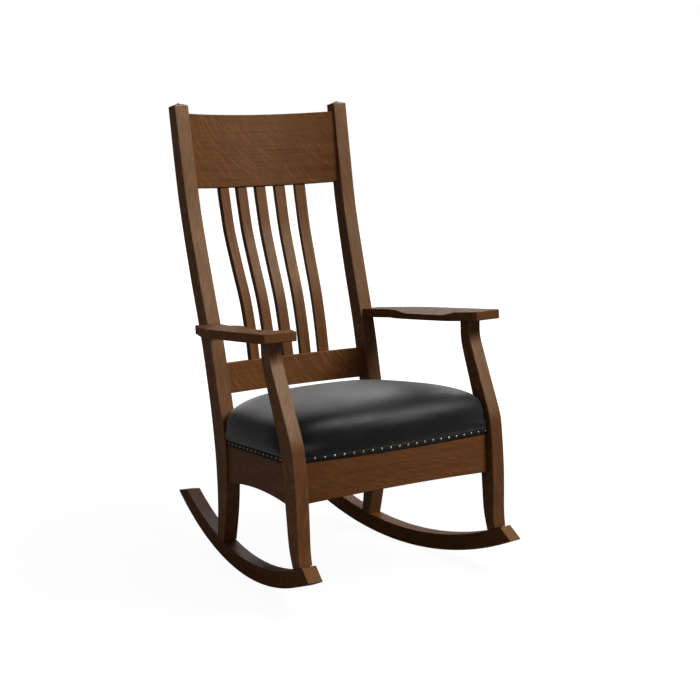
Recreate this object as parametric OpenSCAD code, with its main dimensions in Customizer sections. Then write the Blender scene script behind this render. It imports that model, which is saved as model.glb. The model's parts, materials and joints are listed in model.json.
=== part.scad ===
// Mission rocking chair of dark oak with a crowned leather seat.
// The chair faces -y and is symmetric about x = 0.
// Every y below is measured from the place where a rocker's outer face touches the floor,
// and stand() then moves the chair so that the middle of its base lies on the origin.
// Left and right are those of a viewer in front of the chair: a left piece has x below 0.

/* [Rockers] */
// Radius of a rocker's curved underside
rocker_r = 879; // [860:1:900]
// Depth of a rocker board, from its underside to its top
rocker_depth = 40; // [34:0.5:44]
// Thickness of a rocker board
rocker_thick = 37; // [32:0.5:40]
// Reach of a rocker in front of the place where it stands
rocker_front_reach = 376; // [366:1:390]
// Reach of a rocker behind the place where it stands
rocker_rear_reach = 421.5; // [400:0.5:430]
// Slope of the cut at a rocker's front end
rocker_front_cut = 38; // [30:1:60]
// Slope of the cut at a rocker's rear end
rocker_rear_cut = 14; // [12:1:40]

/* [Posts] */
// Height of the rear posts' tips
chair_h = 1118; // [1105:1:1130]
// Height of the low pyramid on a rear post's top
post_tip = 7; // [3:0.5:10]
// Width of a rear post, seen from the front
rear_post_w = 38.8; // [34:0.2:42]
// Half the distance across the rear posts' outer faces, at the floor
rear_post_half = 238.2; // [225:0.2:245]
// Lean of the rear posts away from the middle
rear_splay = 0.83; // [0.4:0.01:1.2]
// Width of a front post, seen from the front
front_post_w = 35.6; // [32:0.2:40]
// Half the distance across the front posts' outer faces, at the floor
front_post_half = 296.8; // [290:0.2:300]
// Lean of the front posts away from the middle
front_splay = 0.63; // [0.3:0.01:0.9]

/* [Back] */
// Thickness of the crest rail and of the lower back rail
back_rail_thick = 22; // [19:0.5:26]
// Height of the crest rail's lower edge at its ends
crest_z = 911.6; // [895:0.2:920]
// Depth of the crest rail, measured along its slope
crest_depth = 183.5; // [160:0.5:186]
// Lean of the crest rail
crest_rake = 9.9; // [8:0.1:11]
// Bow of the crest rail towards the back
crest_bow = 41; // [30:1:45]
// Distance from the rear posts' front edge back to the crest rail
crest_setback = 10.5; // [9:0.5:12]
// Height of the lower back rail's lower edge at its ends
low_rail_z = 412; // [408:1:420]
// Depth of the lower back rail, measured along its slope
low_rail_depth = 76; // [60:1:80]
// Lean of the lower back rail
low_rail_rake = 8.3; // [7:0.1:11]
// Bow of the lower back rail towards the back
low_rail_bow = 28; // [20:1:32]
// Distance from the rear posts' front edge back to the lower back rail
low_rail_setback = 21; // [18:0.5:22]
// Width of a slat
slat_w = 29.3; // [24:0.1:34]
// Thickness of a slat
slat_thick = 14; // [12:0.5:15]
// Distance between the slats' middles at the lower back rail
slat_pitch_low = 51.4; // [46:0.2:54]
// Distance between the slats' middles at the crest rail
slat_pitch_top = 56.4; // [50:0.2:58]

/* [Seat frame] */
// Height of the seat frame's top over the place where the rockers stand
seat_z = 305.6; // [298:0.2:312]
// Slope of the seat, the front being higher
seat_tilt = 5.7; // [4.5:0.1:6.5]
// Thickness of the seat rails
seat_rail_thick = 22; // [19:0.5:25]
// Depth of a seat rail at its ends
seat_rail_depth = 94; // [80:1:100]
// Rise of the arch under the front rail
front_rail_arch = 9; // [4:0.5:16]
// Rise of the arch under a side rail
side_rail_arch = 12; // [4:0.5:20]
// Bow of the front rail towards the front
front_rail_bow = 22; // [12:1:26]
// Distance from the front posts' front edge back to the front rail
front_rail_setback = 17.5; // [15:0.5:19]
// Distance from the rear posts' front edge back to the rear rail
rear_rail_setback = 14; // [10:0.5:16]
// Step from a post's outer face in to the side rail
side_rail_step = 6; // [4:0.5:8]
// Length of the legs of a corner block
corner_block_leg = 62; // [50:1:70]
// Depth of a corner block
corner_block_depth = 38; // [28:1:50]

/* [Arms] */
// Thickness of an arm
arm_thick = 22; // [19:0.5:25]
// Height of the arms' top over the place where the rockers stand
arm_z = 602.6; // [596:0.2:610]
// Slope of the arms, the front being higher
arm_tilt = 5.57; // [4.8:0.01:6.2]
// Overhang of an arm beyond the front post's outer face, at its front
arm_overhang = 37.5; // [30:0.5:44]
// Reach of an arm in front of the front post's top
arm_front_reach = 43; // [38:0.5:50]
// How far an arm's outer front corner lies behind its inner one
arm_front_slant = 9; // [0:1:14]
// Reach of an arm's wing behind the rear post's front edge
arm_wing_reach = 18; // [10:0.5:24]
// Slope of the scoop in an arm's top towards the sitter
arm_scoop_slope = 6.2; // [3:0.1:8]
// Length of the scoop's floor along the arm
arm_scoop_len = 150; // [120:1:180]
// Distance of the scoop's start from the arm's outer edge
arm_scoop_start = 54; // [48:1:60]

/* [Seat cushion] */
// Thickness of the seat board
board_thick = 18; // [16:0.5:21]
// Thickness of the leather
leather = 1.8; // [1.4:0.1:2.4]
// Height of the leather border strip
border_h = 13.5; // [12:0.5:16]
// Height of the crown over the seat frame
crown_h = 135; // [120:1:142]
// Height at which the cushion is widest
bulge_z = 43.5; // [36:0.5:50]
// Swell of the cushion beyond the seat board at its sides
side_swell = 12; // [4:0.5:14]
// Swell of the cushion beyond the seat board at its front
front_swell = 6; // [3:0.5:8]
// Diameter of a nail head
nail_d = 7.5; // [6:0.1:8.5]
// Distance between the nails along an edge
nail_pitch = 24.7; // [20:0.1:30]
// Height of the nails over the seat frame
nail_z = 7.8; // [6.5:0.1:9]

/* [Joints and fixings] */
// Gap left at a shoulder or between glued faces
glue_gap = 0.1; // [0.05:0.05:0.3]
// Gap round a tenon, a dowel or a screw
fit_gap = 0.15; // [0.1:0.05:0.3]
// Thickness of a tenon
tenon_thick = 9; // [7:0.5:10]
// Length of a tenon
tenon_len = 14; // [10:0.5:16]
// Diameter of a dowel
dowel_d = 10; // [8:0.5:12]
// Diameter of the screw plugs
plug_d = 10; // [9.5:0.5:12]
// Diameter of a screw's shank
screw_d = 4.5; // [4:0.1:6]

/* [Hidden] */

// Edges of the posts, seen from the side, as [height, y]
rear_post_front = [[40, 119], [140, 99.5], [240, 93.5], [320, 101], [400, 121.5],
    [540, 157], [700, 207.5], [850, 252], [980, 279.5], [1120, 307]];
rear_post_back = [[40, 148], [140, 141.5], [240, 145], [320, 155], [400, 169.5],
    [540, 202.5], [700, 251.5], [850, 292], [980, 317.5], [1120, 340]];
front_post_front = [[90, -328], [140, -319.5], [200, -316.5], [250, -313.5],
    [350, -301.5], [372, -297], [392, -289], [460, -256.5], [530, -223], [552, -213],
    [572, -208], [610, -206.5]];
front_post_back = [[90, -299], [140, -282], [200, -273], [250, -267], [330, -258],
    [360, -250.5], [430, -223.5], [530, -183], [552, -176.5], [572, -174], [610, -172]];
// Sweep of a slat behind the straight line between its ends, as [share of its length, sweep]
slat_sweep = [[0, 0], [0.15, -6.1], [0.34, -8], [0.55, 0], [0.74, 5.6], [0.9, 3], [1, 0]];
// Heights at which the feet meet the rockers, near enough to aim the rockers by
front_foot_z = 100;
rear_foot_z = 46;
edge_steps = 44;
// Room past a tenon's end, width of a tenon's shoulders and length of a tenon inside its piece
end_room = 1;
shoulder = 15;
slat_shoulder = 4;
tenon_root = 6;
big = 1500;
wood_brown = [0.29, 0.15, 0.08];
wood_dark = [0.2, 0.1, 0.06];
wood_pale = [0.72, 0.58, 0.4];
leather_black = [0.1, 0.1, 0.1];
steel_grey = [0.6, 0.6, 0.6];
brass_dull = [0.7, 0.62, 0.45];

// Smooth curve through knots [z, value], straight beyond the ends
function slope_at(k, i) = let(a = max(i - 1, 0), b = min(i + 1, len(k) - 1))
    (k[b][1] - k[a][1]) / (k[b][0] - k[a][0]);
function span_of(k, z, i = 0) =
    i >= len(k) - 2 || z < k[i + 1][0] ? i : span_of(k, z, i + 1);
function blend(k, i, t, w) =
    k[i][1] * (2 * t ^ 3 - 3 * t ^ 2 + 1) + slope_at(k, i) * w * (t ^ 3 - 2 * t ^ 2 + t)
    + k[i + 1][1] * (3 * t ^ 2 - 2 * t ^ 3) + slope_at(k, i + 1) * w * (t ^ 3 - t ^ 2);
function inside_curve(k, z) =
    let(i = span_of(k, z), w = k[i + 1][0] - k[i][0]) blend(k, i, (z - k[i][0]) / w, w);
function curve(k, z) = let(n = len(k) - 1)
    z <= k[0][0] ? k[0][1] + slope_at(k, 0) * (z - k[0][0])
    : z >= k[n][0] ? k[n][1] + slope_at(k, n) * (z - k[n][0])
    : inside_curve(k, z);

// Radius of a bow with the given half chord and rise
function bow_r(half, rise) = (half ^ 2 + rise ^ 2) / (2 * rise);
// How far a bow has moved from its chord at x
function bow_at(half, rise, x) = let(r = bow_r(half, rise)) rise - r + sqrt(r ^ 2 - x ^ 2);
function step(a, b, i) = a + (b - a) * i / edge_steps;

// Places that several pieces share
function rear_out(z) = rear_post_half + z * tan(rear_splay);
function rear_in(z) = rear_out(z) - rear_post_w;
function front_out(z) = front_post_half + z * tan(front_splay);
function front_in(z) = front_out(z) - front_post_w;
function middle(front, back, z) = (curve(front, z) + curve(back, z)) / 2;
rear_foot_y = middle(rear_post_front, rear_post_back, rear_foot_z);
front_foot_y = middle(front_post_front, front_post_back, front_foot_z);
toe_in = atan((front_out(front_foot_z) - rear_out(rear_foot_z)) / (rear_foot_y - front_foot_y));
rocker_x = rear_out(rear_foot_z) + rear_foot_y * tan(toe_in);
rocker_top_r = rocker_r - rocker_depth;
front_end_y = -rocker_front_reach * cos(toe_in) - rocker_thick * sin(toe_in);
rear_end_y = rocker_rear_reach * cos(toe_in);
function rocker_top_z(y) = rocker_r - sqrt(rocker_top_r ^ 2 - (y / cos(toe_in)) ^ 2);
crest_y = curve(rear_post_front, crest_z) + crest_setback;
crest_half = rear_in(crest_z);
low_rail_y = curve(rear_post_front, low_rail_z) + low_rail_setback;
low_rail_half = rear_in(low_rail_z);
slat_inset = (back_rail_thick - slat_thick) / 2;
seat_front_z = seat_z - curve(front_post_front, seat_z) * tan(seat_tilt);
function seat_u(y, z) = y * cos(seat_tilt) - (z - seat_z) * sin(seat_tilt);
front_rail_u = seat_u(curve(front_post_front, seat_front_z), seat_front_z) + front_rail_setback;
front_rail_half = front_in(seat_front_z);
rear_rail_z = seat_z - curve(rear_post_front, seat_z) * tan(seat_tilt);
rear_rail_u = seat_u(curve(rear_post_front, rear_rail_z), rear_rail_z) + rear_rail_setback;
side_front = [front_out(seat_front_z) - side_rail_step,
    seat_u(curve(front_post_back, seat_front_z), seat_front_z)];
side_rear = [rear_out(rear_rail_z) - side_rail_step,
    seat_u(curve(rear_post_front, rear_rail_z), rear_rail_z)];
side_turn = atan((side_front[0] - side_rear[0]) / (side_rear[1] - side_front[1]));
side_len = norm(side_rear - side_front);

module stand() translate([0, -(front_end_y + rear_end_y) / 2, 0]) children();
module on_side(side) {
    if (side < 0) mirror([1, 0, 0]) children();
    else children();
}
module both_sides() {
    on_side(1) children();
    on_side(-1) children();
}
// Solid with an outline in the y-z plane and its thickness along x
module side_view(thick) rotate([90, 0, 90]) linear_extrude(thick) children();
// Solid with an outline in the x-z plane, long in y
module front_view(long) rotate([90, 0, 0]) translate([0, 0, -long / 2]) linear_extrude(long) children();
// Board bowed in plan, with its front face through (+-half, 0) and (0, bow)
module bowed_board(half, bow, thick, depth) {
    r = bow_r(half, abs(bow));
    inner_r = bow > 0 ? r : r - thick;
    intersection() {
        translate([0, bow > 0 ? bow - r : bow + r, 0]) difference() {
            cylinder(r = inner_r + thick, h = depth, $fn = 720);
            translate([0, 0, -1]) cylinder(r = inner_r, h = depth + 2, $fn = 720);
        }
        translate([-half - 60, -abs(bow) - 20, -1])
            cube([2 * half + 120, 2 * abs(bow) + thick + 40, depth + 2]);
    }
}
module tenon_block(thick, long, depth, room) translate([-room, -tenon_root, -room])
    cube([thick + 2 * room, tenon_root + long + (room > 0 ? end_room : 0), depth + 2 * room]);

// Rockers, with x across the board inwards from its outer face and y along it
module at_rocker() translate([rocker_x, 0, 0]) rotate([0, 0, toe_in])
    translate([-rocker_thick, 0, 0]) children();
module rocker_disc(r) translate([-big / 2, 0, rocker_r]) rotate([0, 90, 0])
    cylinder(r = r, h = big, $fn = 720);
function end_z(y) = rocker_r - sqrt(rocker_r ^ 2 - y ^ 2);
module rocker_blank() {
    front = [-rocker_front_reach, end_z(rocker_front_reach)];
    rear = [rocker_rear_reach, end_z(rocker_rear_reach)];
    cut = 3 * rocker_depth;
    at_rocker() difference() {
        intersection() {
            side_view(rocker_thick) polygon([
                front, [front[0], -1], [rear[0], -1], rear,
                rear + cut * [-cos(rocker_rear_cut), sin(rocker_rear_cut)],
                front + cut * [cos(rocker_front_cut), sin(rocker_front_cut)]]);
            rocker_disc(rocker_r);
        }
        rocker_disc(rocker_top_r);
    }
}
// Dowel between a foot and its rocker
module foot_dowel(x, y, room) {
    at_z = rocker_top_z(y);
    translate([x, y, at_z]) rotate([asin(y / rocker_top_r), 0, 0])
        translate([0, 0, -rocker_depth * 0.6 - room])
        cylinder(d = dowel_d + 2 * room, h = rocker_depth * 1.4 + 2 * room, $fn = 32);
}
module foot_dowels(room) {
    foot_dowel(rear_out(rear_foot_z) - rear_post_w / 2, rear_foot_y, room);
    foot_dowel(front_out(front_foot_z) - front_post_w / 2, front_foot_y, room);
}
module rocker(side) color(wood_brown) stand() on_side(side) difference() {
    rocker_blank();
    foot_dowels(fit_gap);
}
module rocker_dowels() color(wood_pale) stand() both_sides() foot_dowels(0);

// Posts
module post_blank(front, back, width, half, splay, low, high)
    translate([half, 0, 0]) rotate([0, splay, 0]) translate([-width, 0, 0]) side_view(width)
    polygon([
        for (i = [0 : edge_steps]) let(z = step(low, high, i)) [curve(front, z), z],
        for (i = [edge_steps : -1 : 0]) let(z = step(low, high, i)) [curve(back, z), z]]);
module rear_post_blank()
    post_blank(rear_post_front, rear_post_back, rear_post_w, rear_post_half, rear_splay,
        10, chair_h + 10);
module front_post_blank()
    post_blank(front_post_front, front_post_back, front_post_w, front_post_half, front_splay,
        60, arm_z + 30);
// Room for a post and a gap in the pieces that close round it
module rear_post_room(gap) for (move = [[-gap, 0, 0], [-gap, -gap, 0], [0, -gap, 0], [gap, 0, 0]])
    translate(move) rear_post_blank();
module front_post_room(gap) for (move = [[-gap, 0, 0], [-gap, gap, 0], [0, gap, 0]])
    translate(move) front_post_blank();
module between(low, high) front_view(2 * big)
    polygon([[-low, 0], [low, 0], [high, big], [-high, big]]);
module between_rear_posts(gap) between(rear_in(0) - gap, rear_in(big) - gap);
module between_front_posts(gap) between(front_in(0) - gap, front_in(big) - gap);
module under_rocker_top() at_rocker() rocker_disc(rocker_top_r - glue_gap);
function gable(half) = [[0, 0], [big / 3, -post_tip * big / 3 / half], [big / 3, -big],
    [-big / 3, -big], [-big / 3, -post_tip * big / 3 / half]];
module post_top() {
    top_front = curve(rear_post_front, chair_h);
    top_back = curve(rear_post_back, chair_h);
    translate([rear_out(chair_h) - rear_post_w / 2, (top_front + top_back) / 2, chair_h])
        rotate([-crest_rake, 0, 0]) intersection() {
            front_view(big) polygon(gable(rear_post_w / 2));
            translate([-big / 2, 0, 0]) side_view(big) polygon(gable((top_back - top_front) / 2));
        }
}
module rear_post(side) color(wood_brown) stand() on_side(side) difference() {
    intersection() {
        rear_post_blank();
        under_rocker_top();
        post_top();
    }
    foot_dowels(fit_gap);
    crest_tenon(fit_gap);
    low_rail_tenon(fit_gap);
    rear_rail_tenon(fit_gap);
    side_rail_tenons(fit_gap);
    arm_screw(fit_gap);
    screw_plug_bore(fit_gap / 3);
}
module front_post(side) color(wood_brown) stand() on_side(side) difference() {
    intersection() {
        front_post_blank();
        under_rocker_top();
        at_arm() translate([-big / 2, -big / 2, -arm_thick - glue_gap - big]) cube(big);
    }
    foot_dowels(fit_gap);
    front_rail_tenon(fit_gap);
    side_rail_tenons(fit_gap);
    arm_dowel(fit_gap);
}

// Back rails
module at_crest() translate([0, crest_y, crest_z]) rotate([-crest_rake, 0, 0]) children();
module at_low_rail() translate([0, low_rail_y, low_rail_z]) rotate([-low_rail_rake, 0, 0])
    children();
// Tenon that runs along x from the face at half, with its middle at y
module end_tenon(half, y, low, depth, long, room) translate([half, y + tenon_thick / 2, low])
    rotate([0, 0, -90]) tenon_block(tenon_thick, long, depth, room);
module crest_tenon(room) at_crest() end_tenon(crest_half, back_rail_thick / 2, shoulder,
    crest_depth - 2 * shoulder, tenon_len, room);
module low_rail_tenon(room) at_low_rail() end_tenon(low_rail_half, back_rail_thick / 2, shoulder,
    low_rail_depth - 2 * shoulder, tenon_len, room);
module crest_blank() at_crest() bowed_board(crest_half, crest_bow, back_rail_thick, crest_depth);
module low_rail_blank() at_low_rail()
    bowed_board(low_rail_half, low_rail_bow, back_rail_thick, low_rail_depth);
module crest_rail() color(wood_brown) stand() difference() {
    union() {
        intersection() {
            crest_blank();
            between_rear_posts(glue_gap);
        }
        both_sides() crest_tenon(0);
    }
    for (i = [-2 : 2]) slat_top_tenon(i, fit_gap);
}
module lower_back_rail() color(wood_brown) stand() difference() {
    union() {
        intersection() {
            low_rail_blank();
            between_rear_posts(glue_gap);
        }
        both_sides() low_rail_tenon(0);
    }
    for (i = [-2 : 2]) slat_low_tenon(i, fit_gap);
}

// Slats, numbered from -2 at the left to 2 at the right
function top_front(x) = bow_at(crest_half, crest_bow, x) + slat_inset;
function low_front(x) = bow_at(low_rail_half, low_rail_bow, x) + slat_inset;
function slat_top(i) = let(y = top_front(i * slat_pitch_top))
    [crest_y + y * cos(crest_rake), crest_z - y * sin(crest_rake)];
function slat_low(i) = let(y = low_front(i * slat_pitch_low), z = low_rail_depth)
    [low_rail_y + y * cos(low_rail_rake) + z * sin(low_rail_rake),
     low_rail_z - y * sin(low_rail_rake) + z * cos(low_rail_rake)];
// A slat's own directions: its foot at the origin, its length along z and its front at y = 0
function slat_run(i) = slat_top(i) - slat_low(i);
function slat_lean(i) = atan(slat_run(i)[0] / slat_run(i)[1]);
function slat_fan(i) = atan(i * (slat_pitch_top - slat_pitch_low) / norm(slat_run(i)));
// The slats face the middle of the bow, halfway between what the two rails would ask
function slat_turn(i) = (asin(i * slat_pitch_top / bow_r(crest_half, crest_bow))
    + asin(i * slat_pitch_low / bow_r(low_rail_half, low_rail_bow))) / 2;
module at_slat(i) translate([i * slat_pitch_low, slat_low(i)[0], slat_low(i)[1]])
    rotate([-slat_lean(i), 0, 0]) rotate([0, slat_fan(i), 0]) rotate([0, 0, -slat_turn(i)])
    children();
function slat_front(i, t) = [curve(slat_sweep, t), t * norm(slat_run(i))];
function slat_back(i, t) = let(d = slat_front(i, t + 0.01) - slat_front(i, t - 0.01))
    slat_front(i, t) + slat_thick * [d[1], -d[0]] / norm(d);
module slat_blank(i) at_slat(i) translate([-slat_w / 2, 0, 0]) side_view(slat_w) polygon([
    for (k = [0 : edge_steps]) slat_front(i, step(-0.02, 1.02, k)),
    for (k = [edge_steps : -1 : 0]) slat_back(i, step(-0.02, 1.02, k))]);
module slat_tenon(long, room)
    translate([slat_shoulder - slat_w / 2 - room, -slat_thick / 4 - room, -room])
    cube([slat_w - 2 * slat_shoulder + 2 * room, slat_thick / 2 + 2 * room, long + 2 * room]);
module slat_top_tenon(i, room) {
    x = i * slat_pitch_top;
    at_crest() translate([x, top_front(x) + slat_thick / 2, -tenon_root])
        rotate([0, 0, -slat_turn(i)]) slat_tenon(tenon_len + tenon_root, room);
}
module slat_low_tenon(i, room) {
    x = i * slat_pitch_low;
    at_low_rail() translate([x, low_front(x) + slat_thick / 2, low_rail_depth - tenon_len])
        rotate([0, 0, -slat_turn(i)]) slat_tenon(tenon_len + tenon_root, room);
}
module back_slat(i) color(wood_brown) stand() {
    difference() {
        slat_blank(i);
        translate([0, 0, -glue_gap]) crest_blank();
        translate([0, 0, glue_gap]) low_rail_blank();
    }
    slat_top_tenon(i, 0);
    slat_low_tenon(i, 0);
}

// Seat frame, with u across the seat towards the back and its top at 0
module at_seat() translate([0, 0, seat_z]) rotate([-seat_tilt, 0, 0]) children();
module arch_cut(half, rise) {
    r = bow_r(half, rise);
    translate([0, 0, -seat_rail_depth + rise - r]) rotate([90, 0, 0])
        cylinder(r = r, h = big, center = true, $fn = 720);
}
module front_rail_tenon(room) at_seat() translate([0, front_rail_u, -seat_rail_depth])
    end_tenon(front_rail_half, seat_rail_thick / 2, shoulder,
        seat_rail_depth - 2 * shoulder, tenon_len - 2, room);
module rear_rail_tenon(room) at_seat() translate([0, rear_rail_u, -seat_rail_depth])
    end_tenon(rear_in(rear_rail_z), seat_rail_thick / 2, shoulder,
        seat_rail_depth - 2 * shoulder, tenon_len, room);
module front_rail_blank() at_seat() difference() {
    translate([0, front_rail_u, -seat_rail_depth])
        bowed_board(front_rail_half, -front_rail_bow, seat_rail_thick, seat_rail_depth);
    arch_cut(front_rail_half, front_rail_arch);
}
module front_seat_rail() color(wood_brown) stand() {
    intersection() {
        front_rail_blank();
        between_front_posts(glue_gap);
    }
    both_sides() front_rail_tenon(0);
}
module rear_rail_blank() at_seat() translate([-big / 2, rear_rail_u, -seat_rail_depth])
    cube([big, seat_rail_thick, seat_rail_depth]);
module rear_seat_rail() color(wood_brown) stand() {
    intersection() {
        rear_rail_blank();
        between_rear_posts(glue_gap);
    }
    both_sides() rear_rail_tenon(0);
}
// Side rail, with its outer face at x = 0 and y along it from the front post to the rear post
module at_side() at_seat() translate([side_front[0], side_front[1], 0])
    rotate([0, 0, side_turn]) children();
module side_rail_blank() at_side() difference() {
    translate([-seat_rail_thick, -20, -seat_rail_depth])
        cube([seat_rail_thick, side_len + 40, seat_rail_depth]);
    translate([0, side_len / 2, 0]) rotate([0, 0, 90]) arch_cut(side_len / 2, side_rail_arch);
}
module side_rail_tenons(room) at_side()
    translate([-seat_rail_thick / 2 - tenon_thick / 2, 0, shoulder - seat_rail_depth]) {
        mirror([0, 1, 0]) tenon_block(tenon_thick, tenon_len, seat_rail_depth - 2 * shoulder, room);
        translate([0, side_len, 0])
            tenon_block(tenon_thick, tenon_len, seat_rail_depth - 2 * shoulder, room);
    }
module side_rail(side) color(wood_brown) stand() on_side(side) {
    difference() {
        side_rail_blank();
        translate([0, glue_gap, 0]) front_post_blank();
        translate([0, -glue_gap, 0]) rear_post_blank();
    }
    side_rail_tenons(0);
}

// Corner blocks and the screws that hold the seat board down on them
function side_x(u) = side_front[0] - (u - side_front[1]) * tan(side_turn);
side_inner = seat_rail_thick / cos(side_turn);
front_block_u = front_rail_u + seat_rail_thick;
rear_block_u = rear_rail_u - glue_gap;
block_top = -4;
screw_in = corner_block_leg * 0.42;
module block_prism() translate([0, 0, block_top - corner_block_depth])
    linear_extrude(corner_block_depth) children();
module front_block_shape() at_seat() block_prism() polygon([
    [side_x(front_block_u) - side_inner + 3, front_rail_u + 4],
    [side_x(front_block_u) - side_inner - corner_block_leg, front_rail_u + 4],
    [side_x(front_block_u) - side_inner - corner_block_leg, front_block_u + 4],
    [side_x(front_block_u) - side_inner - 12, front_block_u + corner_block_leg],
    [side_x(front_block_u + corner_block_leg) - side_inner + 3, front_block_u + corner_block_leg]]);
module rear_block_shape() at_seat() block_prism() polygon([
    [side_x(rear_block_u) - side_inner + 3, rear_block_u],
    [side_x(rear_block_u) - side_inner - corner_block_leg, rear_block_u],
    [side_x(rear_block_u) - side_inner - corner_block_leg, rear_block_u - 14],
    [side_x(rear_block_u) - side_inner - 12, rear_block_u - corner_block_leg],
    [side_x(rear_block_u - corner_block_leg) - side_inner + 3, rear_block_u - corner_block_leg]]);
module block_screw(x, u, room) at_seat() translate([x, u, 0]) {
    translate([0, 0, block_top - corner_block_depth - room])
        cylinder(d = 2 * screw_d + 2 * room, h = 3 + 2 * room, $fn = 32);
    translate([0, 0, block_top - corner_block_depth])
        cylinder(d = screw_d + 2 * room, h = corner_block_depth - block_top + board_thick * 0.7 + room,
            $fn = 24);
}
module front_block_screw(room) block_screw(side_x(front_block_u) - side_inner - screw_in,
    front_block_u + screw_in, room);
module rear_block_screw(room) block_screw(side_x(rear_block_u) - side_inner - screw_in,
    rear_block_u - screw_in, room);
module front_block(side) color(wood_pale) stand() on_side(side) difference() {
    front_block_shape();
    translate([0, glue_gap, 0]) front_rail_blank();
    translate([-glue_gap, 0, 0]) side_rail_blank();
    front_post_room(glue_gap);
    front_block_screw(fit_gap);
}
module rear_block(side) color(wood_pale) stand() on_side(side) difference() {
    rear_block_shape();
    translate([-glue_gap, 0, 0]) side_rail_blank();
    rear_post_room(glue_gap);
    rear_block_screw(fit_gap);
}
module corner_block_screws() color(steel_grey) stand() both_sides() {
    front_block_screw(0);
    rear_block_screw(0);
}

// Arms, with y along the board and its top at 0
module at_arm() translate([0, 0, arm_z]) rotate([-arm_tilt, 0, 0]) children();
arm_rear_z = arm_z - curve(rear_post_front, arm_z) * tan(arm_tilt);
arm_front = [front_out(arm_z), curve(front_post_front, arm_z) / cos(arm_tilt)];
arm_rear = [rear_out(arm_rear_z), curve(rear_post_front, arm_rear_z) / cos(arm_tilt)];
arm_outer_x = arm_front[0] + arm_overhang;
arm_end_y = arm_front[1] - arm_front_reach;
arm_corner_r = 6;
// Inner edge as [y, x]
arm_inner = [[arm_end_y, arm_front[0] - 46], [arm_front[1] + 4, arm_front[0] - 67],
    [arm_front[1] + 34, arm_front[0] - 78], [arm_front[1] + 98, arm_front[0] - 82],
    [arm_rear[1] - 181, arm_front[0] - 82], [arm_rear[1] - 121, arm_front[0] - 78],
    [arm_rear[1] - 89, arm_front[0] - 69], [arm_rear[1] - 62, arm_rear[0] - 18],
    [arm_rear[1] + 2, arm_rear[0] - 31]];
function round_corner(x, y, r, from, to) = [for (i = [0 : 4]) let(a = from + (to - from) * i / 4)
    [x + r * cos(a), y + r * sin(a)]];
module arm_outline() polygon(concat(
    [[arm_rear[0] + 3, arm_rear[1] + arm_wing_reach],
     [arm_rear[0] + 29, arm_rear[1] + arm_wing_reach / 2],
     [arm_front[0] + 12, arm_rear[1] - 90], [arm_front[0] + 21.6, arm_rear[1] - 140]],
    round_corner(arm_outer_x - arm_corner_r, arm_end_y + arm_front_slant + arm_corner_r,
        arm_corner_r, 0, -90),
    [for (i = [0 : edge_steps]) let(y = step(arm_inner[0][0], arm_inner[8][0], i))
        [curve(arm_inner, y), y]]));
module arm_scoop() {
    low = arm_front[1] + 48;
    high = low + arm_scoop_len;
    translate([arm_outer_x - arm_scoop_start, 0, 0]) mirror([1, 0, 0])
        rotate([0, arm_scoop_slope, 0]) side_view(arm_scoop_start * 3)
        polygon([[low, 0], [high, 0], [high + 150, 20], [low - 120, 20]]);
}
module arm(side) color(wood_brown) stand() on_side(side) difference() {
    at_arm() difference() {
        translate([0, 0, -arm_thick]) linear_extrude(arm_thick) arm_outline();
        arm_scoop();
    }
    rear_post_room(glue_gap);
    arm_dowel(fit_gap);
    arm_screw(fit_gap);
}
module arm_dowel(room) {
    y = middle(front_post_front, front_post_back, arm_z) / cos(arm_tilt);
    at_arm() translate([arm_front[0] - front_post_w / 2, y, -arm_thick - 34 - room])
        cylinder(d = dowel_d + 2 * room, h = 34 + arm_thick * 0.6 + 2 * room, $fn = 32);
}
module arm_dowels() color(wood_pale) stand() both_sides() arm_dowel(0);
arm_screw_y = curve(rear_post_back, arm_rear_z) / cos(arm_tilt) - 10;
module arm_screw(room) at_arm() translate([arm_rear[0] - 15, arm_screw_y, -arm_thick / 2])
    rotate([90, 0, 0]) {
        translate([0, 0, -room]) cylinder(d = plug_d - 1 + 2 * room, h = 3 + 2 * room, $fn = 32);
        cylinder(d = screw_d + 2 * room, h = 62 + room, $fn = 24);
    }
module arm_screws() color(steel_grey) stand() both_sides() arm_screw(0);
module screw_plug_bore(room) at_arm()
    translate([arm_rear[0] - 15, arm_screw_y + 0.1 - room, -arm_thick / 2])
    rotate([-90, 0, 0]) cylinder(d = plug_d + 2 * room, h = 30, $fn = 32);
module screw_plugs() color(wood_dark) stand() both_sides() intersection() {
    screw_plug_bore(0);
    rear_post_blank();
}

// Seat board and cushion, in the seat frame's own directions
seat_rear_u = rear_rail_u + seat_rail_thick;
function board_front(x, grow) =
    front_rail_u - grow - bow_at(front_rail_half, front_rail_bow, x);
function board_outline(grow, rear) = let(front = front_rail_u - grow, w = side_x(front) + grow)
    concat([[-w, front]],
        [for (i = [-12 : 12]) let(x = front_rail_half * i / 12) [x, board_front(x, grow)]],
        [[w, front], [side_x(rear) + grow, rear], [-side_x(rear) - grow, rear]]);
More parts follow.
